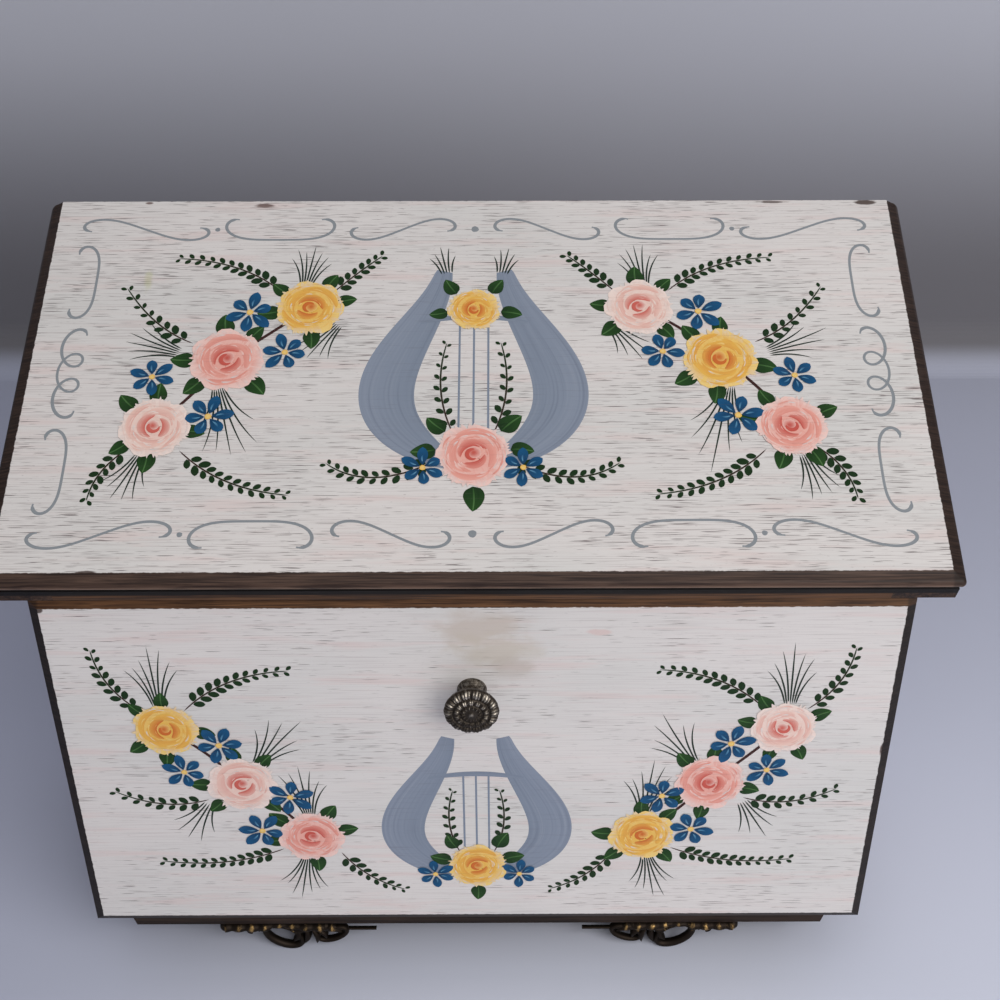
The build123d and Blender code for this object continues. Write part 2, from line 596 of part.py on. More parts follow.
def make_lid():
    """The sloping lid: moulded board, frame of four rails and a mirror between them."""
    reach = CASE_DEPTH * 2
    along = Plane(origin=(0, 0, 0), x_dir=(0, 1, 0), z_dir=(1, 0, 0))
    across = Plane(origin=(0, 0, 0), x_dir=(1, 0, 0), z_dir=(0, -1, 0))
    fore_aft = extrude(along * Polygon(*lid_profile(0), align=None), CASE_WIDTH, both=True)
    sideways = extrude(across * Polygon(*lid_profile(LID_TOP_HALF_WIDTH), align=None), reach, both=True)
    board = fore_aft & sideways
    out_x = LID_TOP_HALF_WIDTH + LID_FRAME_OUT_SIDE
    in_x = out_x - LID_FRAME_WIDTH
    front = -LID_FRAME_OUT_FRONT
    slant = SLOPE_SIN / SLOPE_COS
    back_in = LID_BACK_BASE - LID_FRAME_WIDTH
    chamfer = LID_FRAME_CHAMFER
    rail_nose = [(front + chamfer, 0), (front, chamfer), (front, LID_FRAME - chamfer),
                 (front + chamfer, LID_FRAME)]
    front_section = rail_nose + [(front + LID_FRAME_WIDTH, LID_FRAME), (front + LID_FRAME_WIDTH, 0)]
    back_section = [(back_in, 0), (back_in, LID_FRAME), (LID_BACK_BASE + LID_FRAME * slant, LID_FRAME),
                    (LID_BACK_BASE, 0)]
    full_section = rail_nose + [(LID_BACK_BASE + LID_FRAME * slant, LID_FRAME), (LID_BACK_BASE, 0)]
    side_section = [(chamfer - out_x, 0), (-out_x, chamfer), (-out_x, LID_FRAME - chamfer),
                    (chamfer - out_x, LID_FRAME), (out_x - chamfer, LID_FRAME), (out_x, LID_FRAME - chamfer),
                    (out_x, chamfer), (out_x - chamfer, 0)]
    outside = extrude(across * Polygon(*side_section, align=None), reach, both=True)
    side_rails = outside & extrude(along * Polygon(*full_section, align=None), CASE_WIDTH, both=True)
    between_rails = Box(2 * in_x, 4 * reach, 4 * LID_FRAME)
    flat = {
        "lid_board": board,
        "lid_rail_front": extrude(along * Polygon(*front_section, align=None), CASE_WIDTH, both=True)
        & between_rails,
        "lid_rail_back": extrude(along * Polygon(*back_section, align=None), CASE_WIDTH, both=True)
        & between_rails,
        "lid_rail_left": side_rails & Pos(-in_x - reach / 2, 0, 0) * Box(reach, 4 * reach, 4 * LID_FRAME),
        "lid_rail_right": side_rails & Pos(in_x + reach / 2, 0, 0) * Box(reach, 4 * reach, 4 * LID_FRAME),
        "lid_mirror": block(-in_x + MIRROR_GAP, in_x - MIRROR_GAP, front + LID_FRAME_WIDTH + MIRROR_GAP,
                            back_in - MIRROR_GAP, LID_FRAME - MIRROR_THICKNESS, LID_FRAME),
    }
    parts = {name: LID_PLANE * shape for name, shape in flat.items()}
    for name in ("lid_board", "lid_rail_back"):
        parts[name] = cut_all(parts[name], lid_screws(SCREW_FIT))
    parts["lid_hinge_screws"] = group(lid_screws())
    return parts


def knuckles(x, y, z, length, radius, pin, first):
    """Every other knuckle of one hinge, bored for the pin; first is 0 or 1."""
    pitch = length / KNUCKLES
    clear = PIN_CLEARANCE if first else SCREW_FIT
    rings = []
    for index in range(first, KNUCKLES, 2):
        start = x - length / 2 + index * pitch + KNUCKLE_GAP / 2
        end = start + pitch - KNUCKLE_GAP
        rings.append(bar_x(start, end, y, z, radius) - bar_x(start, end, y, z, pin + clear))
    return rings


def leaf(plate, rings, root):
    """A hinge leaf: its plate joined to its knuckles by short roots."""
    whole = plate
    for ring in rings:
        box = ring.bounding_box()
        whole += ring
        whole += root(box.min.X, box.max.X)
    return whole


def make_door_hinges():
    """Two butt hinges under the door's inner edge, knuckles below the case."""
    half = DOOR_HINGE_LENGTH / 2
    y = DOOR_HINGE_Y
    z = DOOR_HINGE_Z
    seat_y = CASE_FRONT_Y + LEAF_THICKNESS
    bore = DOOR_HINGE_PIN + PIN_CLEARANCE
    door_leaves = []
    case_leaves = []
    pins = []
    for side in SIDES:
        x = side * DOOR_HINGE_X
        door_plate = block(x - half, x + half, y - LEAF_THICKNESS, y, CASE_Z, CASE_Z + DOOR_HINGE_LEAF)
        case_plate = block(x - half, x + half, CASE_FRONT_Y, seat_y, CASE_Z, CASE_Z + DOOR_HINGE_CASE_LEAF)
        door_rings = knuckles(x, y, z, DOOR_HINGE_LENGTH, DOOR_HINGE_RADIUS, DOOR_HINGE_PIN, 1)
        case_rings = knuckles(x, y, z, DOOR_HINGE_LENGTH, DOOR_HINGE_RADIUS, DOOR_HINGE_PIN, 0)
        door_leaf = leaf(door_plate, door_rings,
                         lambda a, b: block(a, b, y - LEAF_THICKNESS, y, z + bore, CASE_Z))
        case_leaf = leaf(case_plate, case_rings,
                         lambda a, b: block(a, b, CASE_FRONT_Y, seat_y, z + bore, CASE_Z))
        door_leaves.append(cut_all(door_leaf, door_screws(SCREW_FIT)))
        case_leaves.append(cut_all(case_leaf, case_screws(SCREW_FIT)))
        pins.append(bar_x(x - half, x + half, y, z, DOOR_HINGE_PIN))
    return {"door_hinge_door_leaves": group(door_leaves), "door_hinge_case_leaves": group(case_leaves),
            "door_hinge_pins": group(pins)}


def make_lid_hinges():
    """Two surface hinges on the outside of the back."""
    half = LID_HINGE_LENGTH / 2
    y = LID_HINGE_Y
    z = LID_HINGE_Z
    bore = LID_HINGE_PIN + PIN_CLEARANCE
    plate_y = BACK_Y + LEAF_THICKNESS
    lid_leaves = []
    case_leaves = []
    pins = []
    for side in SIDES:
        x = side * LID_HINGE_X
        lid_plate = block(x - half, x + half, BACK_Y, plate_y, z + LID_HINGE_RADIUS + KNUCKLE_CLEARANCE,
                          z + LID_HINGE_LEAF)
        case_plate = block(x - half, x + half, BACK_Y, plate_y, z - LID_HINGE_LEAF,
                           z - LID_HINGE_RADIUS - KNUCKLE_CLEARANCE)
        lid_rings = knuckles(x, y, z, LID_HINGE_LENGTH, LID_HINGE_RADIUS, LID_HINGE_PIN, 1)
        case_rings = knuckles(x, y, z, LID_HINGE_LENGTH, LID_HINGE_RADIUS, LID_HINGE_PIN, 0)
        root_y = plate_y + KNUCKLE_CLEARANCE
        lid_leaf = leaf(lid_plate, lid_rings, lambda a, b: block(
            a, b, BACK_Y + KNUCKLE_CLEARANCE, root_y, z + bore, z + LID_HINGE_RADIUS + LEAF_THICKNESS))
        case_leaf = leaf(case_plate, case_rings, lambda a, b: block(
            a, b, BACK_Y + KNUCKLE_CLEARANCE, root_y, z - LID_HINGE_RADIUS - LEAF_THICKNESS, z - bore))
        lid_leaves.append(cut_all(lid_leaf, lid_screws(SCREW_FIT)))
        case_leaves.append(cut_all(case_leaf, case_screws(SCREW_FIT)))
        pins.append(bar_x(x - half, x + half, y, z, LID_HINGE_PIN))
    return {"lid_hinge_lid_leaves": group(lid_leaves), "lid_hinge_case_leaves": group(case_leaves),
            "lid_hinge_pins": group(pins)}


def make_fittings():
    """Linings, dividers, ring rolls and hooks."""
    side_x = INNER_X - LINING
    near_y = RAIL_IN_Y + LINING
    far_y = BACK_IN_Y - LINING
    top_z = LID_HINGE_Z + LID_THICKNESS
    floor_top = WELL_Z + LINING
    parts = {}
    floor = block(-INNER_X, INNER_X, RAIL_IN_Y, BACK_IN_Y, WELL_Z, floor_top)
    parts["well_lining_floor"] = floor - bar_z(STOP_X, STOP_Y, WELL_Z, floor_top, STOP_WAY)
    walls = [
        block(-side_x, side_x, RAIL_IN_Y, near_y, floor_top, top_z),
        block(-side_x, side_x, far_y, BACK_IN_Y, floor_top, top_z),
        block(-INNER_X, -side_x, RAIL_IN_Y, BACK_IN_Y, floor_top, top_z),
        block(side_x, INNER_X, RAIL_IN_Y, BACK_IN_Y, floor_top, top_z),
    ]
    parts["well_lining_walls"] = group([under_lid(wall, WELL_LINING_DROP) for wall in walls])
    dividers = []
    for side in SIDES:
        x = side * DIVIDER_X
        board = block(x - DIVIDER_THICKNESS / 2, x + DIVIDER_THICKNESS / 2, near_y, far_y, floor_top, top_z)
        dividers.append(under_lid(board, DIVIDER_DROP + WELL_LINING_DROP))
    parts["well_dividers"] = group(dividers)
    rolls = []
    roll_end = -DIVIDER_X - DIVIDER_THICKNESS / 2 - ROLL_GAP
    roll_start = -side_x + ROLL_GAP
    rise = ROLL_HEIGHT - ROLL_RADIUS
    for index in range(ROLL_COUNT):
        y = near_y + ROLL_GAP + ROLL_RADIUS + index * (2 * ROLL_RADIUS + ROLL_GAP)
        upright = block(roll_start, roll_end, y - ROLL_RADIUS, y + ROLL_RADIUS, floor_top, floor_top + rise)
        crown = bar_x(roll_start, roll_end, y, floor_top + rise, ROLL_RADIUS)
        rolls.append(upright + crown)
    parts["ring_rolls"] = group(rolls)
    parts["compartment_lining"] = block(-INNER_X, INNER_X, CASE_FRONT_Y + SIDE_THICKNESS, PARTITION_FRONT_Y,
                                        FLOOR_Z, FLOOR_Z + LINING)
    parts["necklace_hooks"] = group(
        make_hook((index - (HOOK_COUNT - 1) / 2) * HOOK_PITCH) for index in range(HOOK_COUNT))
    return parts


def make_hook(x):
    """A round plate under the shelf with a bent wire hook."""
    y = RAIL_IN_Y + HOOK_SETBACK
    foot = SHELF_Z - HOOK_DROP
    plate = bar_z(x, y, SHELF_Z - HOOK_PLATE_THICKNESS, SHELF_Z, HOOK_PLATE)
    stem = bar_z(x, y, foot, SHELF_Z - HOOK_PLATE_THICKNESS / 2, HOOK_WIRE)
    bend = ThreePointArc((x, y, foot), (x, y - HOOK_BEND, foot - HOOK_BEND), (x, y - 2 * HOOK_BEND, foot))
    curl = sweep(Plane(origin=(x, y, foot), z_dir=(0, 0, -1)) * Circle(HOOK_WIRE), bend)
    return plate + stem + curl


def make_movement():
    """The musical movement on the back board: plate, spring, cylinder, comb and governor."""
    zm = MOVEMENT_Z
    axle_y = BED_Y - AXLE_DEPTH
    fan_y = BED_Y - FAN_DEPTH
    right = RIGHT_BEARING_X
    post = SHAFT_RADIUS + BEARING_WALL
    shaft_hole = SHAFT_RADIUS + SHAFT_CLEARANCE
    parts = {}

    plate = block(-BEDPLATE_LEFT, BEDPLATE_RIGHT, BED_Y, BACK_IN_Y, zm - BEDPLATE_DOWN, zm + BEDPLATE_UP)
    comb_low = CYLINDER_RADIUS + PIN_HEIGHT + COMB_CLEARANCE
    comb_base_z = zm + comb_low + COMB_REACH
    comb_mid_x = CYLINDER_X + CYLINDER_LENGTH / 2
    comb_half = TRACKS * TRACK_PITCH / 2
    comb_back = axle_y + COMB_THICKNESS / 2
    pedestal = block(comb_mid_x - comb_half, comb_mid_x + comb_half, comb_back, BED_Y,
                     comb_base_z + COMB_TOOTH, comb_base_z + COMB_BASE)
    left_post = block(LEFT_BEARING_X, LEFT_BEARING_X + BEARING_WALL, axle_y - post, BED_Y,
                      zm - post, zm + post)
    right_post = block(right, right + BEARING_WALL, axle_y - post, BED_Y,
                       zm - GOVERNOR_DROP - post, zm + post)
    bed = plate + pedestal + left_post + right_post
    bed -= bar_x(LEFT_BEARING_X, LEFT_BEARING_X + BEARING_WALL, axle_y, zm, shaft_hole)
    for drop in (0, GOVERNOR_DROP):
        bed -= bar_x(right, right + BEARING_WALL, axle_y, zm - drop, shaft_hole)
    bed -= bar_y(0, BED_Y, BACK_IN_Y, zm, ARBOR_RADIUS + SHAFT_CLEARANCE)
    bed -= bar_y(FAN_X, BED_Y, BACK_IN_Y, zm - WORM_DROP, shaft_hole)
    comb_screw_x = (comb_mid_x - comb_half * COMB_SCREW_SHARE, comb_mid_x + comb_half * COMB_SCREW_SHARE)
    comb_screw_z = comb_base_z + COMB_BASE * COMB_SCREW_SHARE

    def comb_screw(x, fit=0.0):
        """One comb screw, driven towards the bedplate."""
        shank = bar_y(x, axle_y, comb_back + COMB_BASE * COMB_SCREW_SHARE, comb_screw_z, COMB_SCREW + fit)
        head = bar_y(x, comb_back - COMB_THICKNESS - MACHINE_HEAD_HEIGHT, comb_back - COMB_THICKNESS,
                     comb_screw_z, COMB_SCREW_HEAD)
        middle = bar_y(x, comb_back - COMB_THICKNESS, comb_back, comb_screw_z, COMB_SCREW + fit)
        return shank + head + middle

    comb_holes = [comb_screw(x, SCREW_FIT) for x in comb_screw_x]
    parts["movement_bedplate"] = cut_all(bed, comb_holes + movement_screws(SCREW_FIT))
    comb = block(comb_mid_x - comb_half, comb_mid_x + comb_half, comb_back - COMB_THICKNESS, comb_back,
                 comb_base_z, comb_base_z + COMB_BASE)
    for index in range(TRACKS):
        x = comb_mid_x + (index - (TRACKS - 1) / 2) * TRACK_PITCH
        comb += block(x - COMB_TOOTH / 2, x + COMB_TOOTH / 2, comb_back - COMB_THICKNESS, comb_back,
                      zm + comb_low, comb_base_z)
    parts["comb"] = cut_all(comb, comb_holes)
    parts["comb_screws"] = group(comb_screw(x) for x in comb_screw_x)
    parts["movement_screws"] = group(movement_screws())

    cup = bar_y(0, BED_Y - HOUSING_DEPTH, BED_Y, zm, HOUSING_RADIUS)
    cup -= bar_y(0, BED_Y - HOUSING_DEPTH + HOUSING_WALL, BED_Y, zm, HOUSING_RADIUS - HOUSING_WALL)
    parts["spring_housing"] = cup - bar_y(0, BED_Y - HOUSING_DEPTH, BED_Y, zm, ARBOR_RADIUS + SHAFT_CLEARANCE)
    parts["mainspring"] = make_mainspring()

    arbor_front = BED_Y - CROWN_TOP - TOOTH_ROOT
    key_y = BACK_Y + ROSETTE_THICKNESS + KEY_GAP
    arbor_back = key_y + KEY_LOBE
    parts["winding_arbor"] = bar_y(0, arbor_front, arbor_back, zm, ARBOR_RADIUS)
    parts["crown_wheel"] = make_crown_wheel()
    parts["winding_key"] = make_key(key_y, arbor_back)
    rosette = bar_y(0, BACK_Y, BACK_Y + ROSETTE_THICKNESS, zm, ROSETTE_RADIUS)
    parts["key_rosette"] = rosette - bar_y(0, BACK_Y, BACK_Y + ROSETTE_THICKNESS, zm, ARBOR_HOLE)

    parts["music_cylinder"] = make_cylinder()
    great = toothed_wheel(GREAT_TEETH, GEAR_MODULE, WHEEL_THICKNESS, SHAFT_RADIUS + SCREW_FIT)
    parts["great_wheel"] = Pos(GREAT_X + WHEEL_THICKNESS / 2, axle_y, zm) * Rot(0, 90, 0) * great

    spindle_z = zm - GOVERNOR_DROP
    pinion = toothed_wheel(GOVERNOR_PINION_TEETH, GEAR_MODULE, WHEEL_THICKNESS, SHAFT_RADIUS / 2)
    worm_wheel = toothed_wheel(WORM_WHEEL_TEETH, WORM_MODULE, WORM_WHEEL_THICKNESS, SHAFT_RADIUS / 2)
    half_tooth = 180 / GOVERNOR_PINION_TEETH
    spindle = bar_x(GOVERNOR_POST_X, right + BEARING_WALL, axle_y, spindle_z, SHAFT_RADIUS)
    in_mesh = Rot(0, 90, 0) * Rot(0, 0, half_tooth)
    spindle += Pos(GREAT_X + WHEEL_THICKNESS / 2, axle_y, spindle_z) * in_mesh * pinion
    spindle += Pos(FAN_X, axle_y, spindle_z) * Rot(0, 90, 0) * worm_wheel
    parts["governor_spindle"] = spindle

    fan_z = zm - WORM_DROP
    fan_top = fan_y - FAN_BLADE - 2 * TOOTH_ADDENDUM
    fan = bar_y(FAN_X, fan_top - BEARING_WALL, BED_Y + BEARING_WALL, fan_z, SHAFT_RADIUS)
    fan += bar_y(FAN_X, fan_y, BED_Y - BEARING_WALL, fan_z, WORM_RADIUS)
    fan += block(FAN_X - FAN_RADIUS, FAN_X + FAN_RADIUS, fan_y - FAN_BLADE, fan_y,
                 fan_z - FAN_SHEET / 2, fan_z + FAN_SHEET / 2)
    parts["governor_fan"] = fan
    arm_right = FAN_X + post
    frame = block(GOVERNOR_POST_X, GOVERNOR_POST_X + BEARING_WALL, fan_top - BEARING_WALL, BED_Y,
                  fan_z - post, spindle_z + post)
    frame += block(GOVERNOR_POST_X, arm_right, fan_top - BEARING_WALL, fan_top, fan_z - post, fan_z + post)
    frame -= bar_x(GOVERNOR_POST_X, GOVERNOR_POST_X + BEARING_WALL, axle_y, spindle_z, shaft_hole)
    frame -= bar_y(FAN_X, fan_top - BEARING_WALL, fan_top, fan_z, shaft_hole)
    parts["governor_frame"] = frame
    parts["stop_rod"] = make_stop_rod(fan_y - FAN_BLADE / 2, fan_z)
    return parts


def make_mainspring():
    """A flat strip wound inside the housing, as one spiral of steady pitch."""
    inner = ARBOR_RADIUS * 2
    outer = HOUSING_RADIUS - HOUSING_WALL - SPRING_STRIP
    steps = SPRING_TURNS * SPRING_STEPS

    def at(index, shift):
        """A point of the spiral, shifted across the strip."""
        turn = 2 * math.pi * SPRING_TURNS * index / steps
        radius = inner + (outer - inner) * index / steps + shift
        return (radius * math.cos(turn), radius * math.sin(turn))

    inside = [at(index, 0) for index in range(steps + 1)]
    outside = [at(index, SPRING_STRIP) for index in range(steps, -1, -1)]
    strip = extrude(Polygon(*inside, *outside, align=None), (HOUSING_DEPTH - 3 * HOUSING_WALL) / 2, both=True)
    return Pos(0, BED_Y - (HOUSING_DEPTH - HOUSING_WALL) / 2, MOVEMENT_Z) * Rot(90, 0, 0) * strip


def make_crown_wheel():
    """A disc with teeth on its face, near the rim, on the winding arbor."""
    back = BED_Y - HOUSING_DEPTH - HOUSING_WALL
    front = BED_Y - CROWN_TOP
    wheel = bar_y(0, front, back, MOVEMENT_Z, CROWN_RADIUS)
    wheel -= bar_y(0, front, back, MOVEMENT_Z, ARBOR_RADIUS + SCREW_FIT)
    width = math.pi * GEAR_MODULE * CROWN_TOOTH_SHARE
    rise = TOOTH_ROOT + TOOTH_ADDENDUM - GEAR_MODULE / 4
    radius = CROWN_RADIUS - CROWN_FACE / 2
    for index in range(CROWN_TEETH):
        turn = Rot(0, 360 * (index + 0.5) / CROWN_TEETH, 0)
        tooth = Pos(radius, -rise / 2, 0) * Box(CROWN_FACE, rise, width)
        wheel += Pos(0, front, MOVEMENT_Z) * turn * tooth
    return wheel


def make_cylinder():
    """The pinned cylinder with its shaft and pinion."""
    axle_y = BED_Y - AXLE_DEPTH
    zm = MOVEMENT_Z
    end = CYLINDER_X + CYLINDER_LENGTH
    drum = bar_x(CYLINDER_X, end, axle_y, zm, CYLINDER_RADIUS)
    drum -= bar_x(CYLINDER_X + CYLINDER_WALL, end - CYLINDER_WALL, axle_y, zm,
                  CYLINDER_RADIUS - CYLINDER_WALL)
    first = CYLINDER_X + (CYLINDER_LENGTH - (TRACKS - 1) * TRACK_PITCH) / 2
    for track in range(TRACKS):
        for index in range(PINS_PER_TRACK):
            turn = GOLDEN_TURN * (track * PINS_PER_TRACK + index)
            pin = Pos(0, 0, CYLINDER_RADIUS) * Cylinder(PIN_RADIUS, 2 * PIN_HEIGHT)
            drum += Pos(first + track * TRACK_PITCH, axle_y, zm) * Rot(turn, 0, 0) * pin
    pinion_x = CROWN_RADIUS - CROWN_FACE / 2
    drum += bar_x(pinion_x - CROWN_FACE / 2, RIGHT_BEARING_X + BEARING_WALL, axle_y, zm, SHAFT_RADIUS)
    pinion = toothed_wheel(CROWN_PINION_TEETH, GEAR_MODULE, CROWN_FACE, SHAFT_RADIUS / 2)
    drum += Pos(pinion_x, axle_y, zm) * Rot(0, 90, 0) * Rot(0, 0, 90) * pinion
    return drum


def make_key(start, arbor_back):
    """A two-lobed winding key on the arbor, behind the back board."""
    zm = MOVEMENT_Z
    end = BACK_Y + KEY_REACH
    lobes = Rectangle(2 * KEY_SPREAD, KEY_LOBE)
    for side in SIDES:
        lobes += Pos(side * KEY_SPREAD, 0) * Circle(KEY_LOBE)
    for side in SIDES:
        lobes -= Pos(side * KEY_SPREAD, 0) * Circle(KEY_EYE)
    wing = extrude(lobes, KEY_THICKNESS / 2, both=True)
    key = Pos(0, end - KEY_LOBE, zm) * wing
    key += bar_y(0, start, end - KEY_LOBE, zm, KEY_SHANK)
    return key - bar_y(0, start, arbor_back, zm, ARBOR_RADIUS + SCREW_FIT)


def make_stop_rod(arm_y, arm_z):
    """The bent wire that the closed lid pushes down beside the governor's fan."""
    to_back = (BACK_Y - STOP_Y) * SLOPE_SIN / SLOPE_COS
    top = LID_HINGE_Z - to_back - 2 * LID_SEAT_GAP - STOP_RADIUS * SLOPE_SIN / SLOPE_COS
    end_x = FAN_X + FAN_RADIUS + STOP_GAP
    path = FilletPolyline((STOP_X, STOP_Y, top), (STOP_X, STOP_Y, arm_z), (STOP_X, arm_y, arm_z),
                          (end_x, arm_y, arm_z), radius=STOP_BEND)
    return sweep(Plane(origin=(STOP_X, STOP_Y, top), z_dir=(0, 0, -1)) * Circle(STOP_RADIUS), path)


def main():
    """Build every piece and write it to its own file."""
    plinth = make_plinth()
    feet = make_feet(plinth)
    parts = {}
    for made in (make_case(), plinth, feet, make_door(), make_lid(), make_door_hinges(), make_lid_hinges(),
                 make_fittings(), make_movement()):
        parts.update(made)
    parts["case_hinge_screws"] = group(case_screws())
    os.makedirs("parts", exist_ok=True)
    for name, shape in parts.items():
        export_step(shape, f"parts/{name}.step")
    print(len(parts), "nodes")


main()
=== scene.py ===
"""Dresses the slant-lid musical jewelry box.

It gets rubbed paint, stained mouldings, cast fittings, a flower painting and a velvet inside. Lengths are
metres in the row frame: X to the right, Y to the back, Z up, with the table at Z = 0.
"""

import json
import logging
import math
from dataclasses import dataclass, field
from enum import Enum
from typing import Callable, Optional, Sequence, Union

import bmesh
import bpy
import numpy as np
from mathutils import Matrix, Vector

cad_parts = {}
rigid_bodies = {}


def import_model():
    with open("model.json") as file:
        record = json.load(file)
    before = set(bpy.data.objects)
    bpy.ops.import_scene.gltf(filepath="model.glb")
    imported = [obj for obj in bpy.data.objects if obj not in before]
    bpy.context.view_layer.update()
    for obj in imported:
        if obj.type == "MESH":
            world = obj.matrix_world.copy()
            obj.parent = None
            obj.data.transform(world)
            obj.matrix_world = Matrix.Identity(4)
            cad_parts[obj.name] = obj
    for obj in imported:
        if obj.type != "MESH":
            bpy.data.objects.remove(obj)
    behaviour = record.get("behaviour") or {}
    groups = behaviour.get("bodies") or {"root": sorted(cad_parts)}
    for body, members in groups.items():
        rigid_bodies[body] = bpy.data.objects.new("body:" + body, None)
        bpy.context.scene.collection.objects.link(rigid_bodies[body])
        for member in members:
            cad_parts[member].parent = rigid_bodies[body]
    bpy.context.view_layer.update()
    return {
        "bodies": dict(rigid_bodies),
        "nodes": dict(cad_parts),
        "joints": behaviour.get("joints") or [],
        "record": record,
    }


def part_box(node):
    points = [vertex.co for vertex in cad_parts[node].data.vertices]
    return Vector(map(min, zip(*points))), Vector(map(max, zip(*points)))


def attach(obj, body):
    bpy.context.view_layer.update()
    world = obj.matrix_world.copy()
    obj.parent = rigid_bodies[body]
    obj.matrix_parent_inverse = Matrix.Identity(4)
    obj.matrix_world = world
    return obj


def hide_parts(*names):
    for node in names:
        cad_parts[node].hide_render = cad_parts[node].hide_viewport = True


LOG = logging.getLogger("jewelry_box")

MM = 0.001
SLOPE = math.radians(25.1)
FACE_Y = -66.3 * MM
BACK_Y = 64.8 * MM
CASE_HALF = 140.0 * MM
CASE_Z = 30.4 * MM
DOOR_HEIGHT = 146.7 * MM
DOOR_BEVEL = 3.0 * MM
LID_FIELD_HALF = 146.9 * MM
LID_FRAME = 7.2 * MM
LID_THICKNESS = 13.8 * MM
LID_NOSE_LOW = 9.2 * MM
LID_FRONT_Y = FACE_Y - 5.8 * MM + LID_THICKNESS * math.sin(SLOPE)
LID_FRONT_Z = CASE_Z + 162.0 * MM - LID_THICKNESS * math.cos(SLOPE)
LID_BACK = (BACK_Y - LID_FRONT_Y) / math.cos(SLOPE)
LID_FIELD_DEPTH = LID_BACK + LID_THICKNESS * math.tan(SLOPE)

Socket = bpy.types.NodeSocket
Value = Union[float, Sequence[float], Socket]
Colour = tuple[float, float, float, float]
Triple = tuple[float, float, float]
Spot = Sequence[float]
Placing = Callable[[np.ndarray], np.ndarray]


def tone(red: float, green: float, blue: float) -> Colour:
    """A screen colour, 0 to 255 in each channel, as linear light with full cover.

    Args:
        red: Screen red.
        green: Screen green.
        blue: Screen blue.

    Returns:
        Linear red, green, blue and 1.
    """
    light = [((c / 255 + 0.055) / 1.055) ** 2.4 if c > 10 else c / 255 / 12.92 for c in (red, green, blue)]
    return (light[0], light[1], light[2], 1.0)


def millimetres(along: float, up: Optional[float] = None, out: Optional[float] = None) -> Triple:
    """A size along three axes from millimetres; a missing one is the same as the first."""
    return (along * MM, (along if up is None else up) * MM, (along if out is None else out) * MM)


STAIN = tone(66, 46, 38)
CREAM = tone(227, 221, 217)
# Near-black painted shadow for the groove under the lid's nose.
GROOVE_SHADOW = tone(14, 8, 6)
GRAIN_ALONG = millimetres(30, 0.8, 0.8)
GRAIN_UP = millimetres(0.8, 30, 0.8)


class Lie(Enum):
    """How a flat board lies: the turns that carry a drawing's right, up and outward onto it."""

    LID = (SLOPE, 0.0, 0.0)
    FRONT = (math.pi / 2, 0.0, 0.0)
    RIGHT = (math.pi / 2, 0.0, math.pi / 2)
    LEFT = (math.pi / 2, 0.0, -math.pi / 2)
    LEVEL = (0.0, 0.0, 0.0)


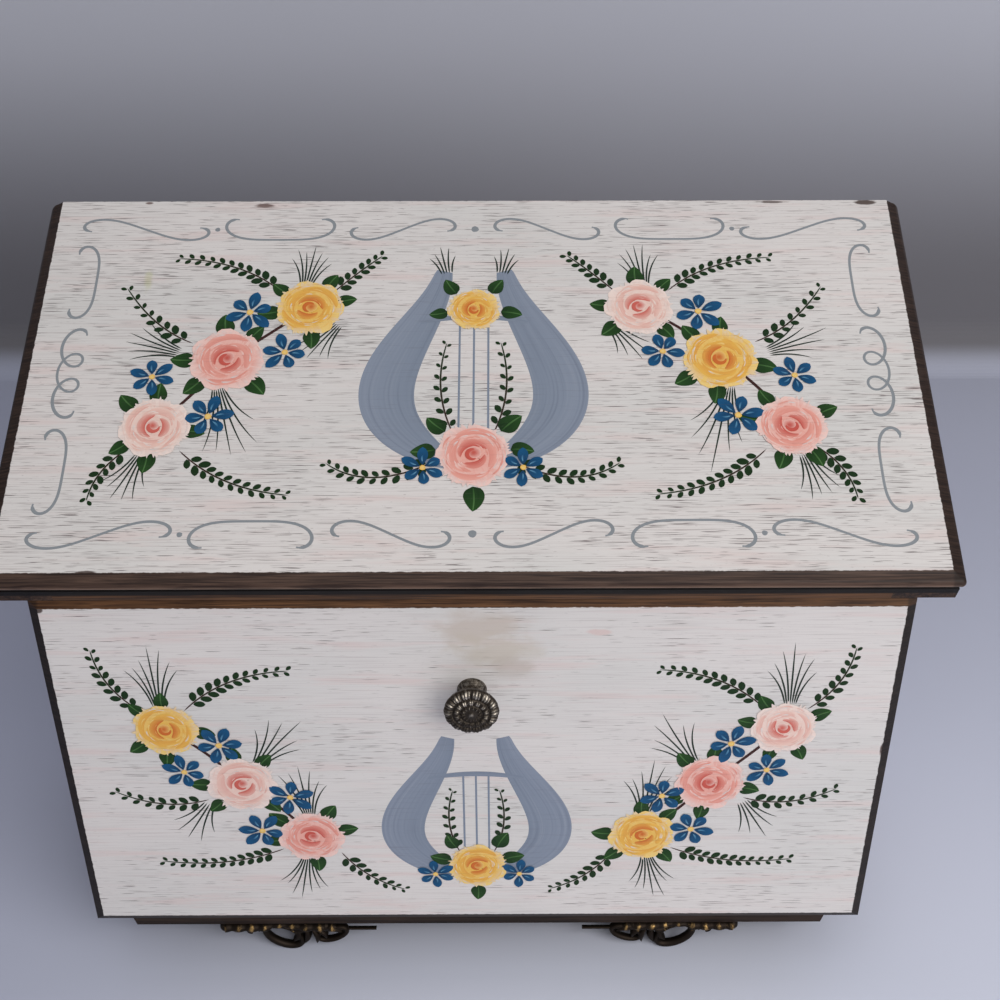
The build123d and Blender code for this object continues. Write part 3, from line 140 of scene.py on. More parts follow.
class Sheet:
    """A node material under construction, with short calls for the nodes that the finishes share."""

    def __init__(self, name: str) -> None:
        """Start a material of that name with one surface shader.

        Args:
            name: The material's name.
        """
        self.material = bpy.data.materials.new(name)
        self.material.use_nodes = True
        self.tree = self.material.node_tree
        self.shader = self.tree.nodes["Principled BSDF"]

    def feed(self, socket: Socket, value: Value) -> None:
        """Link a socket into another, or set its value.

        Args:
            socket: The input that is fed.
            value: Another node's output, a number or a colour.
        """
        if isinstance(value, Socket):
            self.tree.links.new(value, socket)
        else:
            socket.default_value = value

    def add(self, kind: str, feeds: dict[Union[str, int], Value], **settings: object) -> bpy.types.Node:
        """Add a node.

        Args:
            kind: Blender's name of the node type.
            feeds: What goes into each input, by its name or number.
            settings: Properties of the node itself.

        Returns:
            The new node.
        """
        node = self.tree.nodes.new(kind)
        for key, value in settings.items():
            setattr(node, key, value)
        for key, value in feeds.items():
            self.feed(node.inputs[key], value)
        return node

    def lying(self, lie: Lie, origin: Spot = (0, 0, 0)) -> Socket:
        """Object coordinates laid flat: X along the board, Y up it and Z out of it.

        Args:
            lie: How the board lies.
            origin: The point of the board that becomes zero.

        Returns:
            The vector socket.
        """
        spot = self.add("ShaderNodeTexCoord", {}).outputs["Object"]
        feeds = {"Vector": spot, "Location": origin, "Rotation": lie.value}
        return self.add("ShaderNodeMapping", feeds, vector_type="TEXTURE").outputs[0]

    def axes(self, vector: Socket) -> Sequence[Socket]:
        """The three numbers of a vector."""
        return self.add("ShaderNodeSeparateXYZ", {0: vector}).outputs

    def attribute(self, name: str, output: str) -> Socket:
        """A value that the mesh itself carries."""
        return self.add("ShaderNodeAttribute", {}, attribute_name=name).outputs[output]

    def grain(self, vector: Socket, size: Spot, detail: float = 2.0, rough: float = 0.5,
              warp: float = 0.0) -> Socket:
        """Noise whose marks have the given size along each axis.

        Args:
            vector: The coordinates.
            size: Length of a mark along each axis, in metres.
            detail: Octaves of finer noise.
            rough: Strength of the finer octaves.
            warp: Distortion of the marks.

        Returns:
            The noise value, from 0 to 1.
        """
        scaled = self.add("ShaderNodeVectorMath", {0: vector, 1: size}, operation="DIVIDE").outputs[0]
        feeds = {"Vector": scaled, "Scale": 1.0, "Detail": detail, "Roughness": rough, "Distortion": warp}
        return self.add("ShaderNodeTexNoise", feeds).outputs[0]

    def band(self, value: Value, low: float, high: float) -> Socket:
        """A smooth step: 0 at low, 1 at high."""
        feeds = {"Value": value, "From Min": low, "From Max": high}
        return self.add("ShaderNodeMapRange", feeds, interpolation_type="SMOOTHSTEP").outputs[0]

    def spread(self, value: Value, low: float, high: float) -> Socket:
        """Stretch a 0 to 1 value between two numbers."""
        return self.add("ShaderNodeMapRange", {"Value": value, "To Min": low, "To Max": high}).outputs[0]

    def calc(self, operation: str, first: Value, second: Value = 0.0, third: Value = 0.0) -> Socket:
        """One sum of the Math node."""
        feeds = {0: first, 1: second, 2: third}
        return self.add("ShaderNodeMath", feeds, operation=operation).outputs[0]

    def times(self, first: Value, second: Value) -> Socket:
        """The product of two values."""
        return self.calc("MULTIPLY", first, second)

    def sway(self, noise: Value, gain: float, base: Value) -> Socket:
        """The base, moved by a gain times how far the noise lies from its middle."""
        return self.calc("MULTIPLY_ADD", self.calc("SUBTRACT", noise, 0.5), gain, base)

    def mix(self, share: Value, under: Value, over: Value, blend: str = "MIX") -> Socket:
        """Lay one colour over another.

        Args:
            share: How much of the upper colour shows.
            under: The lower colour.
            over: The upper colour.
            blend: Blender's name of the way in which they mix.

        Returns:
            The mixed colour.
        """
        node = self.tree.nodes.new("ShaderNodeMix")
        node.data_type = "RGBA"
        node.blend_type = blend
        for key, value in {"Factor": share, "A": under, "B": over}.items():
            self.feed([s for s in node.inputs if s.name == key and s.enabled][0], value)
        return [s for s in node.outputs if s.enabled][0]

    def relief(self, height: Value, depth: float, strength: float) -> None:
        """Bump the surface by a height whose full range is depth, in metres."""
        feeds = {"Height": height, "Distance": depth, "Strength": strength}
        self.feed(self.shader.inputs["Normal"], self.add("ShaderNodeBump", feeds).outputs[0])

    def finish(self, **sockets: Value) -> bpy.types.Material:
        """Feed the surface shader and return the material.

        Args:
            sockets: Values by the shader's input names, with _ for a space.

        Returns:
            The finished material.
        """
        for key, value in sockets.items():
            self.feed(self.shader.inputs[key.replace("_", " ")], value)
        return self.material


@dataclass(frozen=True)
class Blot:
    """A stain or a worn place on a painted board, in the board's own right and up."""

    right: float
    up: float
    half_width: float
    half_height: float
    colour: Colour
    strength: float
    ragged: float = 0.5
    soft: float = 0.3

    def over(self, sheet: Sheet, axes: Sequence[Socket], cloud: Socket, colour: Value) -> Socket:
        """Lay the stain over a colour.

        It is full inside an ellipse and fades over its edge, which a slow noise pushes in and out.

        Args:
            sheet: The material under construction.
            axes: The board's own right and up.
            cloud: The slow noise.
            colour: What lies under the stain.

        Returns:
            The stained colour.
        """
        squares = []
        for axis, middle, half in ((axes[0], self.right, self.half_width),
                                   (axes[1], self.up, self.half_height)):
            away = sheet.calc("DIVIDE", sheet.calc("SUBTRACT", axis, middle), half)
            squares.append(sheet.calc("POWER", away, 2.0))
        far = sheet.sway(cloud, self.ragged * 4, sheet.calc("SQRT", sheet.calc("ADD", *squares)))
        cover = sheet.band(far, 1.0 + self.soft, 1.0 - self.soft)
        return sheet.mix(sheet.times(cover, self.strength), colour, self.colour)


@dataclass(frozen=True)
class RubbedPaint:
    """Off-white paint dragged over dark wood: fine broken streaks along it, and bare stained edges with
    painted shade and highlights on them.
    """

    name: str
    lie: Lie
    origin: Triple
    half_width: float
    half_height: float
    streaks: float = 1.0
    blots: tuple[Blot, ...] = ()
    groove: float = -1.0
    bare: tuple[Colour, Colour] = (tone(36, 25, 21), tone(84, 64, 52))
    crown: float = 1.0
    fray: float = 0.12 * MM

    def paint(self, sheet: Sheet, flat: Socket) -> tuple[Socket, Socket]:
        """The paint's colour with the marks in it.

        Each layer of marks shows where its noise is high: a pink blush, long faint streaks, short pores,
        and dark streaks 10 mm long and a third of a millimetre high, whose threshold wanders in larger
        patches.

        Args:
            sheet: The material under construction.
            flat: The board's own coordinates.

        Returns:
            The colour, and the share of dark wood in it.
        """
        wash = sheet.grain(flat, millimetres(90, 40, 90))
        blush = sheet.grain(flat, millimetres(60, 6, 60), 3.0, 0.6)
        thin = sheet.grain(flat, millimetres(26, 0.36, 40), 1.5)
        pore = sheet.grain(flat, millimetres(2.2, 0.45, 40), 1.0)
        streak = sheet.grain(flat, millimetres(10, 0.36, 40), 1.0)
        wander = sheet.sway(sheet.grain(flat, millimetres(46, 24, 90)), 0.3, streak)
        level = 0.716 - 0.08 * self.streaks
        colour = sheet.mix(sheet.band(wash, 0.35, 0.7), CREAM, tone(219, 216, 212))
        for noise, low, high, cover, shade in (
                (blush, 0.5, 0.7, 0.5, tone(226, 203, 198)),
                (thin, 0.5, 0.7, 0.16 + 0.2 * self.streaks, tone(166, 152, 150)),
                (pore, 0.68, 0.76, 0.3 * self.streaks, tone(120, 102, 100)),
                (wander, level, level + 0.08, 0.78, tone(92, 76, 76))):
            share = sheet.band(noise, low, high)
            colour = sheet.mix(sheet.times(share, cover), colour, shade)
        return colour, share

    def wood(self, sheet: Sheet, grain: Socket, axes: Sequence[Socket]) -> Socket:
        """The bare wood round the painted field.

        Above the crown it is lighter. Where the board has a groove, a painted highlight runs along its
        nose, broken by the grain, and the wood deeper than the groove gets painted shadow.

        Args:
            sheet: The material under construction.
            grain: The wood's grain.
            axes: The board's own right, up and out.

        Returns:
            The wood's colour.
        """
        share = sheet.band(grain, 0.3, 0.76)
        bare = sheet.mix(share, *self.bare)
        if self.crown < 1:
            lighter = sheet.mix(share, tone(54, 34, 22), tone(124, 86, 56))
            bare = sheet.mix(sheet.band(axes[1], self.crown, self.crown + 0.6 * MM), bare, lighter)
        if self.groove > 0:
            # Painted highlight along the lower edge of the nose, broken by the grain.
            nose = sheet.calc("ABSOLUTE", sheet.calc("ADD", axes[2], self.groove - 1.7 * MM))
            worn = sheet.times(sheet.band(nose, 1.1 * MM, 0), sheet.band(grain, 0.25, 0.55))
            bare = sheet.mix(sheet.times(worn, 0.75), bare, tone(138, 110, 90))
            # Painted shadow in the groove: the wood between the nose and the frame below is near-black.
            frame = LID_FRAME - LID_THICKNESS
            deep = sheet.band(axes[2], 0.5 * MM - self.groove, 0.1 * MM - self.groove)
            above_frame = sheet.band(axes[2], frame - 0.4 * MM, frame + 0.2 * MM)
            bare = sheet.mix(sheet.times(deep, above_frame), bare, GROOVE_SHADOW)
        return bare

    def make(self) -> bpy.types.Material:
        """Build the material.

        The painted field is where the distance to the nearest edge of the rectangle is above a little
        noise, and the depth behind the face is under 0.3 mm. Wood past the field's sides is darker, as
        painted shade.

        Returns:
            The material.
        """
        sheet = Sheet(self.name)
        flat = sheet.lying(self.lie, self.origin)
        axes = sheet.axes(flat)
        colour, dark = self.paint(sheet, flat)
        cloud = sheet.grain(flat, millimetres(13, 7, 9), 5.0, 0.6)
        for blot in self.blots:
            colour = blot.over(sheet, axes, cloud, colour)
        grain = sheet.grain(flat, millimetres(26, 0.7, 5), 4.0, 0.65, 0.4)
        bare = self.wood(sheet, grain, axes)
        in_x = sheet.calc("SUBTRACT", self.half_width, sheet.calc("ABSOLUTE", axes[0]))
        in_y = sheet.calc("SUBTRACT", self.half_height, sheet.calc("ABSOLUTE", axes[1]))
        # Painted shade: the bare wood past the field's sides is darker.
        bare = sheet.mix(sheet.times(sheet.band(in_x, 0.6 * MM, -0.6 * MM), 0.55), bare, tone(20, 14, 12))
        ragged = sheet.grain(flat, millimetres(2.6, 1.8, 3), 3.0, 0.6)
        frayed = sheet.sway(ragged, 0.8 * MM, sheet.calc("MINIMUM", in_x, in_y))
        near_face = sheet.band(axes[2], -0.5 * MM, -0.3 * MM)
        painted = sheet.times(sheet.band(frayed, -self.fray, self.fray), near_face)
        skin = sheet.times(sheet.calc("SUBTRACT", 1.0, dark), painted)
        sheet.relief(sheet.calc("ADD", skin, sheet.times(grain, 0.6)), 0.12 * MM, 0.5)
        rough = sheet.spread(painted, 0.46, 0.56)
        colour = sheet.mix(painted, bare, colour)
        return sheet.finish(Base_Color=colour, Roughness=rough, Specular_IOR_Level=0.2)


@dataclass(frozen=True)
class StainedWood:
    """Dark brown stained wood whose grain runs along one axis of the board."""

    name: str
    lie: Lie = Lie.LEVEL
    grain: Triple = GRAIN_ALONG
    deep: Colour = tone(34, 23, 18)
    worn: Colour = tone(90, 66, 50)
    gloss: float = 0.44
    origin: Triple = (0, 0, 0)
    groove_shadow: tuple[float, ...] = ()

    def make(self) -> bpy.types.Material:
        """Build the material.

        Two sizes of stretched noise pick between the deep and the worn colour, and a painted groove shadow
        darkens the wood from its first height out of the board to its second.

        Returns:
            The material.
        """
        sheet = Sheet(self.name)
        flat = sheet.lying(self.lie, self.origin)
        line = sheet.grain(flat, self.grain, 4.0, 0.65, 0.5)
        cloud = sheet.grain(flat, tuple(6 * size for size in self.grain))
        colour = sheet.mix(sheet.band(sheet.sway(cloud, 0.6, line), 0.34, 0.74), self.deep, self.worn)
        # Painted shadow in the groove under the lid's nose, along the top of the rail.
        if self.groove_shadow:
            colour = sheet.mix(sheet.band(sheet.axes(flat)[2], *self.groove_shadow), colour, GROOVE_SHADOW)
        sheet.relief(line, 0.15 * MM, 0.5)
        rough = sheet.spread(line, self.gloss, self.gloss + 0.2)
        return sheet.finish(Base_Color=colour, Roughness=rough, Specular_IOR_Level=0.16)


@dataclass(frozen=True)
class BrushedPigment:
    """The flower painter's colours, which lie in the strokes' vertices, with the marks of the brush."""

    name: str
    lie: Lie

    def make(self) -> bpy.types.Material:
        """Build the material.

        The bristle attribute runs along and across each stroke, so noise on it, stretched along the stroke,
        lightens and darkens the colour like brush hairs. The board's own streaks wear thinly through.

        Returns:
            The material.
        """
        sheet = Sheet(self.name)
        flat = sheet.lying(self.lie)
        colour = sheet.attribute("pigment", "Color")
        hair = sheet.grain(sheet.attribute("bristle", "Vector"), (0.8, 0.14, 1.0), 2.0, 0.6)
        thin = sheet.grain(flat, millimetres(12, 0.45, 40), 1.5)
        for edge, share, shade in ((0.78, 0.22, tone(250, 240, 230)), (0.22, 0.28, tone(40, 26, 26))):
            colour = sheet.mix(sheet.times(sheet.band(hair, 0.5, edge), share), colour, shade, "SOFT_LIGHT")
        colour = sheet.mix(sheet.times(sheet.band(thin, 0.58, 0.74), 0.16), colour, tone(96, 84, 84))
        sheet.relief(hair, 0.05 * MM, 0.35)
        return sheet.finish(Base_Color=colour, Roughness=0.5, Specular_IOR_Level=0.2)


@dataclass(frozen=True)
class AntiqueCasting:
    """Blackened cast metal, rubbed bright on whatever stands high by the piece's relief attribute; on the
    knob that attribute also holds a painted highlight over its upper half.
    """

    name: str
    dark: Colour
    bright: Colour
    shine: float

    def make(self) -> bpy.types.Material:
        """Build the material: relief and noise pick between the dark and the rubbed metal.

        Returns:
            The material.
        """
        sheet = Sheet(self.name)
        flat = sheet.lying(Lie.LEVEL)
        speck = sheet.grain(flat, millimetres(0.9), 4.0, 0.65)
        share = sheet.sway(speck, 0.9, sheet.attribute("relief", "Fac"))
        rubbed = sheet.band(sheet.sway(sheet.grain(flat, millimetres(4)), 0.5, share), 0.45, 1.0)
        sheet.relief(speck, 0.12 * MM, 0.5)
        rough = sheet.spread(rubbed, self.shine + 0.22, self.shine)
        colour = sheet.mix(rubbed, self.dark, self.bright)
        return sheet.finish(Base_Color=colour, Metallic=0.9, Roughness=rough)


@dataclass(frozen=True)
class PlainMetal:
    """Sheet or turned metal with a light drawn grain and dulled patches."""

    name: str
    colour: Colour
    dull: Colour
    roughness: float = 0.3
    grain: Triple = millimetres(6, 0.5, 0.5)

    def make(self) -> bpy.types.Material:
        """Build the material: a slow cloud mixes in the dulled colour, fine lines vary the gloss.

        Returns:
            The material.
        """
        sheet = Sheet(self.name)
        flat = sheet.lying(Lie.LEVEL)
        line = sheet.grain(flat, self.grain, 3.0, 0.6)
        cloud = sheet.grain(flat, millimetres(5), 3.0, 0.6)
        colour = sheet.mix(sheet.band(cloud, 0.42, 0.72), self.colour, self.dull)
        sheet.relief(line, 0.04 * MM, 0.35)
        rough = sheet.spread(line, self.roughness - 0.08, self.roughness + 0.14)
        return sheet.finish(Base_Color=colour, Metallic=1.0, Roughness=rough)


@dataclass(frozen=True)
class Moulded:
    """A matt, non-metal body such as moulded plastic or a sintered magnet."""

    name: str
    colour: Colour
    roughness: float = 0.55

    def make(self) -> bpy.types.Material:
        """Build the material: a fine orange-peel bump and a slightly uneven colour.

        Returns:
            The material.
        """
        sheet = Sheet(self.name)
        peel = sheet.grain(sheet.lying(Lie.LEVEL), millimetres(0.5), 3.0, 0.6)
        colour = sheet.mix(sheet.band(peel, 0.4, 0.8), self.colour, tone(70, 68, 66))
        sheet.relief(peel, 0.03 * MM, 0.4)
        return sheet.finish(Base_Color=colour, Roughness=self.roughness)


@dataclass(frozen=True)
class Velvet:
    """Short-pile velvet with crushed patches and a soft sheen."""

    name: str
    colour: Colour = tone(134, 22, 36)
    crushed: Colour = tone(98, 12, 24)

    def make(self) -> bpy.types.Material:
        """Build the material: crushed patches by slow noise, pile by noise of a third of a millimetre.

        Returns:
            The material.
        """
        sheet = Sheet(self.name)
        flat = sheet.lying(Lie.LEVEL)
        pile = sheet.grain(flat, millimetres(0.35), 2.0, 0.7)
        crush = sheet.grain(flat, millimetres(14, 11, 14), 3.0, 0.6, 0.8)
        colour = sheet.mix(sheet.band(crush, 0.2, 0.8), self.crushed, self.colour)
        colour = sheet.mix(sheet.times(pile, 0.35), colour, self.crushed)
        sheet.relief(pile, 0.2 * MM, 0.7)
        sheet.finish(Sheen_Weight=0.55, Sheen_Roughness=0.4, Sheen_Tint=tone(225, 130, 140))
        return sheet.finish(Base_Color=colour, Roughness=0.9)


@dataclass(frozen=True)
class SilveredGlass:
    """A mirror with a faint haze and a few age spots."""

    name: str

    def make(self) -> bpy.types.Material:
        """Build the material: spots where slow noise is high dull the silver.

        Returns:
            The material.
        """
        sheet = Sheet(self.name)
        flat = sheet.lying(Lie.LID)
        spot = sheet.band(sheet.grain(flat, millimetres(3), 3.0, 0.6), 0.7, 0.8)
        haze = sheet.grain(flat, millimetres(40, 30, 30), 3.0, 0.6)
        colour = sheet.mix(spot, tone(233, 238, 238), tone(96, 92, 84))
        rough = sheet.calc("MULTIPLY_ADD", haze, 0.05, sheet.times(spot, 0.3))
        return sheet.finish(Base_Color=colour, Metallic=1.0, Roughness=rough)


def grid_faces(rows: int, columns: int, count: int = 1, round_columns: bool = False) -> np.ndarray:
    """The quads of one or more grids of points.

    Point (g, i, j) has the number (g * rows + i) * columns + j, and each quad joins (i, j), (i + 1, j),
    (i + 1, j + 1) and (i, j + 1).

    Args:
        rows: Points along the first direction.
        columns: Points along the second direction.
        count: Number of grids.
        round_columns: Whether the second direction closes on itself.

    Returns:
        Quads as an array of four point numbers each.
    """
    steps = columns if round_columns else columns - 1
    i, j = np.meshgrid(np.arange(rows - 1), np.arange(steps), indexing="ij")
    row, next_row = i * columns, (i + 1) * columns
    after = (j + 1) % columns
    one = np.stack([row + j, next_row + j, next_row + after, row + after], -1).reshape(1, -1, 4)
    starts = (np.arange(count) * rows * columns).reshape(-1, 1, 1)
    return (one + starts).reshape(-1, 4)


@dataclass
class Piece:
    """Points and quads of one piece, with what goes onto its mesh."""

    name: str
    points: np.ndarray
    faces: np.ndarray
    relief: Optional[np.ndarray] = None
    pigment: Optional[np.ndarray] = None
    bristle: Optional[np.ndarray] = None

    def build(self, material: bpy.types.Material, body: str, closed: bool = True) -> bpy.types.Object:
        """Make the mesh object, close its seams, turn its faces outwards and put it on its body.

        Args:
            material: The finish.
            body: The CAD body it rides on.
            closed: Whether the piece is a shell whose seams and poles are merged.

        Returns:
            The object.
        """
        mesh = bpy.data.meshes.new(self.name)
        mesh.vertices.add(len(self.points))
        mesh.vertices.foreach_set("co", np.ascontiguousarray(self.points, dtype=np.float32).ravel())
        mesh.loops.add(self.faces.size)
        mesh.loops.foreach_set("vertex_index", np.ascontiguousarray(self.faces, dtype=np.int32).ravel())
        mesh.polygons.add(len(self.faces))
        mesh.polygons.foreach_set("loop_start", np.arange(0, self.faces.size, 4, dtype=np.int32))
        mesh.update(calc_edges=True)
        for name, kind, channel, values in (("relief", "FLOAT", "value", self.relief),
                                            ("pigment", "FLOAT_COLOR", "color", self.pigment),
                                            ("bristle", "FLOAT_VECTOR", "vector", self.bristle)):
            if values is not None:
                layer = mesh.attributes.new(name, kind, "POINT")
                layer.data.foreach_set(channel, values.astype(np.float32).ravel())
        if closed:
            shell = bmesh.new()
            shell.from_mesh(mesh)
            bmesh.ops.remove_doubles(shell, verts=shell.verts, dist=1e-6)
            bmesh.ops.dissolve_degenerate(shell, edges=shell.edges, dist=1e-7)
            bmesh.ops.recalc_face_normals(shell, faces=shell.faces)
            shell.to_mesh(mesh)
            shell.free()
        mesh.validate()
        mesh.polygons.foreach_set("use_smooth", np.full(len(mesh.polygons), True))
        mesh.materials.append(material)
        piece = bpy.data.objects.new(self.name, mesh)
        bpy.context.scene.collection.objects.link(piece)
        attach(piece, body)
        LOG.info("%s rides on %s with %d faces", self.name, body, len(mesh.polygons))
        return piece


def lid_place(flat: np.ndarray) -> np.ndarray:
    """Carry points drawn flat onto the sloping lid.

    Args:
        flat: Points as X, distance up the slope, and height above the lid's underside.

    Returns:
        Points in the row frame.
    """
    x, along, out = flat[..., 0], flat[..., 1], flat[..., 2]
    y = LID_FRONT_Y + along * math.cos(SLOPE) - out * math.sin(SLOPE)
    z = LID_FRONT_Z + along * math.sin(SLOPE) + out * math.cos(SLOPE)
    return np.stack([x, y, z], -1)


def rounded_ring(low: tuple[np.ndarray, np.ndarray], high: tuple[np.ndarray, np.ndarray],
                 height: np.ndarray,
                 radius: np.ndarray, steps: int = 6) -> np.ndarray:
    # Darker stain for the plinth front and back: partly the wood's own stain, partly painted shade under
    # the door.
    # Lighter stain for the lid's front and back rails: painted light that offsets the shade under the lid's
    # nose.
    # The lid's rails get painted shadow along their tops, in the groove under the lid's nose.
    """Rectangles with rounded corners, one for each level of a slab.

    Each corner is a quarter circle of the level's radius about its own centre, and straight edges join
    them.

    Args:
        low: Left edge and near edge of each level.
        high: Right edge and far edge of each level.
        height: Height of each level.
        radius: Corner radius of each level.
        steps: Points along each corner.

    Returns:
        An array of levels by points by three.
    """
    turn = (np.arange(4)[:, None] * math.pi / 2 + np.linspace(0, math.pi / 2, steps)[None, :]).ravel()
    sides = (np.repeat([0.0, 1.0, 1.0, 0.0], steps), np.repeat([0.0, 0.0, 1.0, 1.0], steps))
    flat = [far[:, None] - radius[:, None] + side * (near - far + 2 * radius)[:, None]
            + radius[:, None] * wave
            for near, far, side, wave in zip(low, high, sides, (np.cos(turn), np.sin(turn)))]
    return np.stack([*flat, np.repeat(height[:, None], turn.size, axis=1)], -1)


def capped(rings: np.ndarray) -> np.ndarray:
    """Rings with one more at each end, shrunk to the middle of its neighbour."""
    ends = [np.broadcast_to(ring.mean(0), ring.shape)[None] for ring in (rings[0], rings[-1])]
    return np.concatenate([ends[0], rings, ends[1]])


def wrapped(name: str, rings: np.ndarray, relief: Optional[np.ndarray] = None) -> Piece:
    """A piece whose skin joins ring to ring and closes round each of them.

    Args:
        name: Piece name.
        rings: Rings by points by three, in the row frame.
        relief: The height kept for the finish at each point.

    Returns:
        The piece.
    """
    faces = grid_faces(rings.shape[0], rings.shape[1], round_columns=True)
    return Piece(name, rings.reshape(-1, 3), faces, relief=relief)


def crease(piece: bpy.types.Object, angle: float) -> None:
    """Keep edges sharper than an angle crisp while the rest shades smooth.

    Args:
        piece: The object.
        angle: The angle, in radians.
    """
    shell = bmesh.new()
    shell.from_mesh(piece.data)
    for edge in shell.edges:
        if len(edge.link_faces) == 2 and edge.calc_face_angle(0.0) > angle:
            edge.smooth = False
    shell.to_mesh(piece.data)
    shell.free()


@dataclass
class MouldedLid:
    """The lid's board: painted top, sloping dark edge, rounded nose and a groove over the frame below."""

    finish: RubbedPaint
    bevel_out: float = 2.3 * MM
    bevel_down: float = 0.85 * MM
    nose_out: float = 4.2 * MM
    undercut: float = 2.2 * MM
    lip: float = 0.35 * MM

    def profile(self) -> tuple[np.ndarray, np.ndarray]:
        """The moulding's section, from the underside up and over the nose to the painted field.

        The nose is half an ellipse whose top joins the sloping edge and whose bottom joins the groove.

        Returns:
            Distance out from the field and height above the lid's underside, at each point.
        """
        top = LID_THICKNESS - self.bevel_down
        turn = np.linspace(-math.pi / 2, math.pi / 2, 15)
        nose_out = self.bevel_out + (self.nose_out - self.bevel_out) * np.cos(turn)
        nose_height = (top + LID_NOSE_LOW) / 2 + (top - LID_NOSE_LOW) / 2 * np.sin(turn)
        groove_height = [LID_FRAME, LID_FRAME + 0.2 * MM, LID_NOSE_LOW - 0.3 * MM]
        lip_out = self.lip * np.array([1.0, 0.4, -0.6])
        lip_height = LID_THICKNESS - np.array([0.13, 0.03, 0.0]) * MM
        return (np.concatenate([np.full(3, self.undercut), nose_out, lip_out]),
                np.concatenate([groove_height, nose_height, lip_height]))

    def build(self) -> None:
        """Loft the section round the front and both sides, square at the back, and dress it."""
        out, height = self.profile()
        low = (-LID_FIELD_HALF - out, -out)
        high = (LID_FIELD_HALF + out, LID_BACK + height * math.tan(SLOPE))
        rings = rounded_ring(low, high, height, self.lip + np.maximum(out, 0) * 0.25)
        piece = wrapped("lid_moulded_top", lid_place(capped(rings))).build(self.finish.make(), "lid")
        crease(piece, math.radians(50))
        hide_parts("lid_board")


@dataclass
class RosetteKnob:
    """The door's cast knob: turned neck, scalloped rim and a face of ridged petals round a bead ring."""

    finish: AntiqueCasting
    centre_x: float = -0.8 * MM
    centre_z: float = CASE_Z + DOOR_HEIGHT - 36.5 * MM
    radius: float = 9.0 * MM
    reach: float = 13.5 * MM
    rim_height: float = 10.3 * MM
    crown: float = 2.2 * MM
    relief_height: float = 0.85 * MM
    petals: int = 14
    neck: tuple[tuple[float, float], ...] = (
        (0, 0), (4.9, 0), (4.7, 0.5), (4.3, 1.1), (3.7, 1.9), (3.5, 2.8), (3.5, 4.4), (3.9, 5.6),
        (5.0, 6.7),
        (6.6, 7.6), (7.9, 8.5), (8.7, 9.5), (9.0, 10.3))

    def build(self) -> None:
        """Turn the profile about Y and raise the relief on its face.

        Petal ridges follow |cos(n a)| between the rim and the middle ring, finer ones run inside it, and
        beads stand where a cosine round the middle ring is high. The relief attribute keeps the height
        for the finish, with a painted highlight that makes the upper half lighter than the lower.
        """
        neck_steps, face_steps = 60, 90
        neck = np.array(self.neck) * MM
        spots = np.linspace(0, len(neck) - 1, neck_steps)
        neck_r, neck_h = (np.interp(spots, np.arange(len(neck)), neck[:, k]) for k in (0, 1))
        q = np.linspace(1.0, 0.0, face_steps)
        face_h = self.rim_height + self.crown * np.sqrt(np.clip(1 - q ** 2.4, 0, 1))
        radius = np.concatenate([neck_r, self.radius * q])[:, None]
        height = np.concatenate([neck_h, face_h])[:, None]
        share = np.concatenate([np.ones(neck_steps), q])[:, None]
        on_neck = np.clip((neck_h - 7 * MM) / (3.3 * MM), 0, 1)
        on_face = np.concatenate([on_neck, np.ones(face_steps)])[:, None]
        turn = np.linspace(0, 2 * math.pi, 361)[None, :-1]

        def ring(middle: float, width: float) -> np.ndarray:
            """A smooth hill round the face at a share of its radius."""
            return np.exp(-((share - middle) / width) ** 2)

        outer = np.abs(np.cos(self.petals / 2 * turn)) ** 0.8
        vein = np.abs(np.cos(self.petals * 1.5 * turn))
        inner = np.abs(np.sin(self.petals / 2 * turn)) ** 0.9
        beads = np.clip(np.cos(self.petals * turn), 0, 1)
        relief = ring(0.84, 0.17) * (0.45 * outer + 0.55 * vein * (0.35 + 0.65 * outer))
        relief = relief + ring(0.53, 0.11) * (0.5 * inner + 0.4 * vein * inner)
        relief = relief + 0.6 * ring(0.3, 0.055) * beads
        relief = relief + 0.8 * ring(0.0, 0.14) - 0.4 * ring(0.665, 0.035) - 0.35 * ring(0.4, 0.03)
        relief = relief * on_face
        radius = radius * (1 - 0.022 * on_face * (1 - outer) * np.clip((share - 0.7) / 0.3, 0, 1))
        out = np.minimum(height + relief * self.relief_height, self.reach)
        x = self.centre_x + radius * np.cos(turn)
        z = self.centre_z + radius * np.sin(turn)
        # Painted highlight: the upper half of the face is brighter than the lower.
        lit = 0.2 + (0.62 + 0.2 * np.sin(turn)) * np.clip(relief, 0, 1)
        shade = np.where(on_face > 0, lit, 0.56)
        rings = np.stack([x, FACE_Y - out, z], -1)
        knob = wrapped("rosette_knob", rings, shade).build(self.finish.make(), "door")
        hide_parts("door_knob")


def tube(path: np.ndarray, radius: np.ndarray, depth: np.ndarray, sides: int) -> np.ndarray:
    """A bar of oval section along a flat path, its ends drawn to points.

    The section's first half-axis is the radius, square to the path in the drawing's plane, and its second
    is the depth, out of that plane.

    Args:
        path: Points by two, in the drawing's plane.
        radius: Half thickness in the plane at each point.
        depth: Half thickness out of the plane at each point.
        sides: Points round the section.

    Returns:
        Points by sides by three, as right, up and out.
    """
    turn = np.linspace(0, 2 * math.pi, sides, endpoint=False)
    flat = path[:, None, :] + across_of(path)[:, None, :] * (radius[:, None] * np.cos(turn))[..., None]
    body = np.concatenate([flat, (depth[:, None] * np.sin(turn))[..., None]], -1)
    tips = np.concatenate([path, np.zeros((len(path), 1))], -1)
    first, last = (np.broadcast_to(tips[k], (1, sides, 3)) for k in (0, -1))
    return np.concatenate([first, body, last])


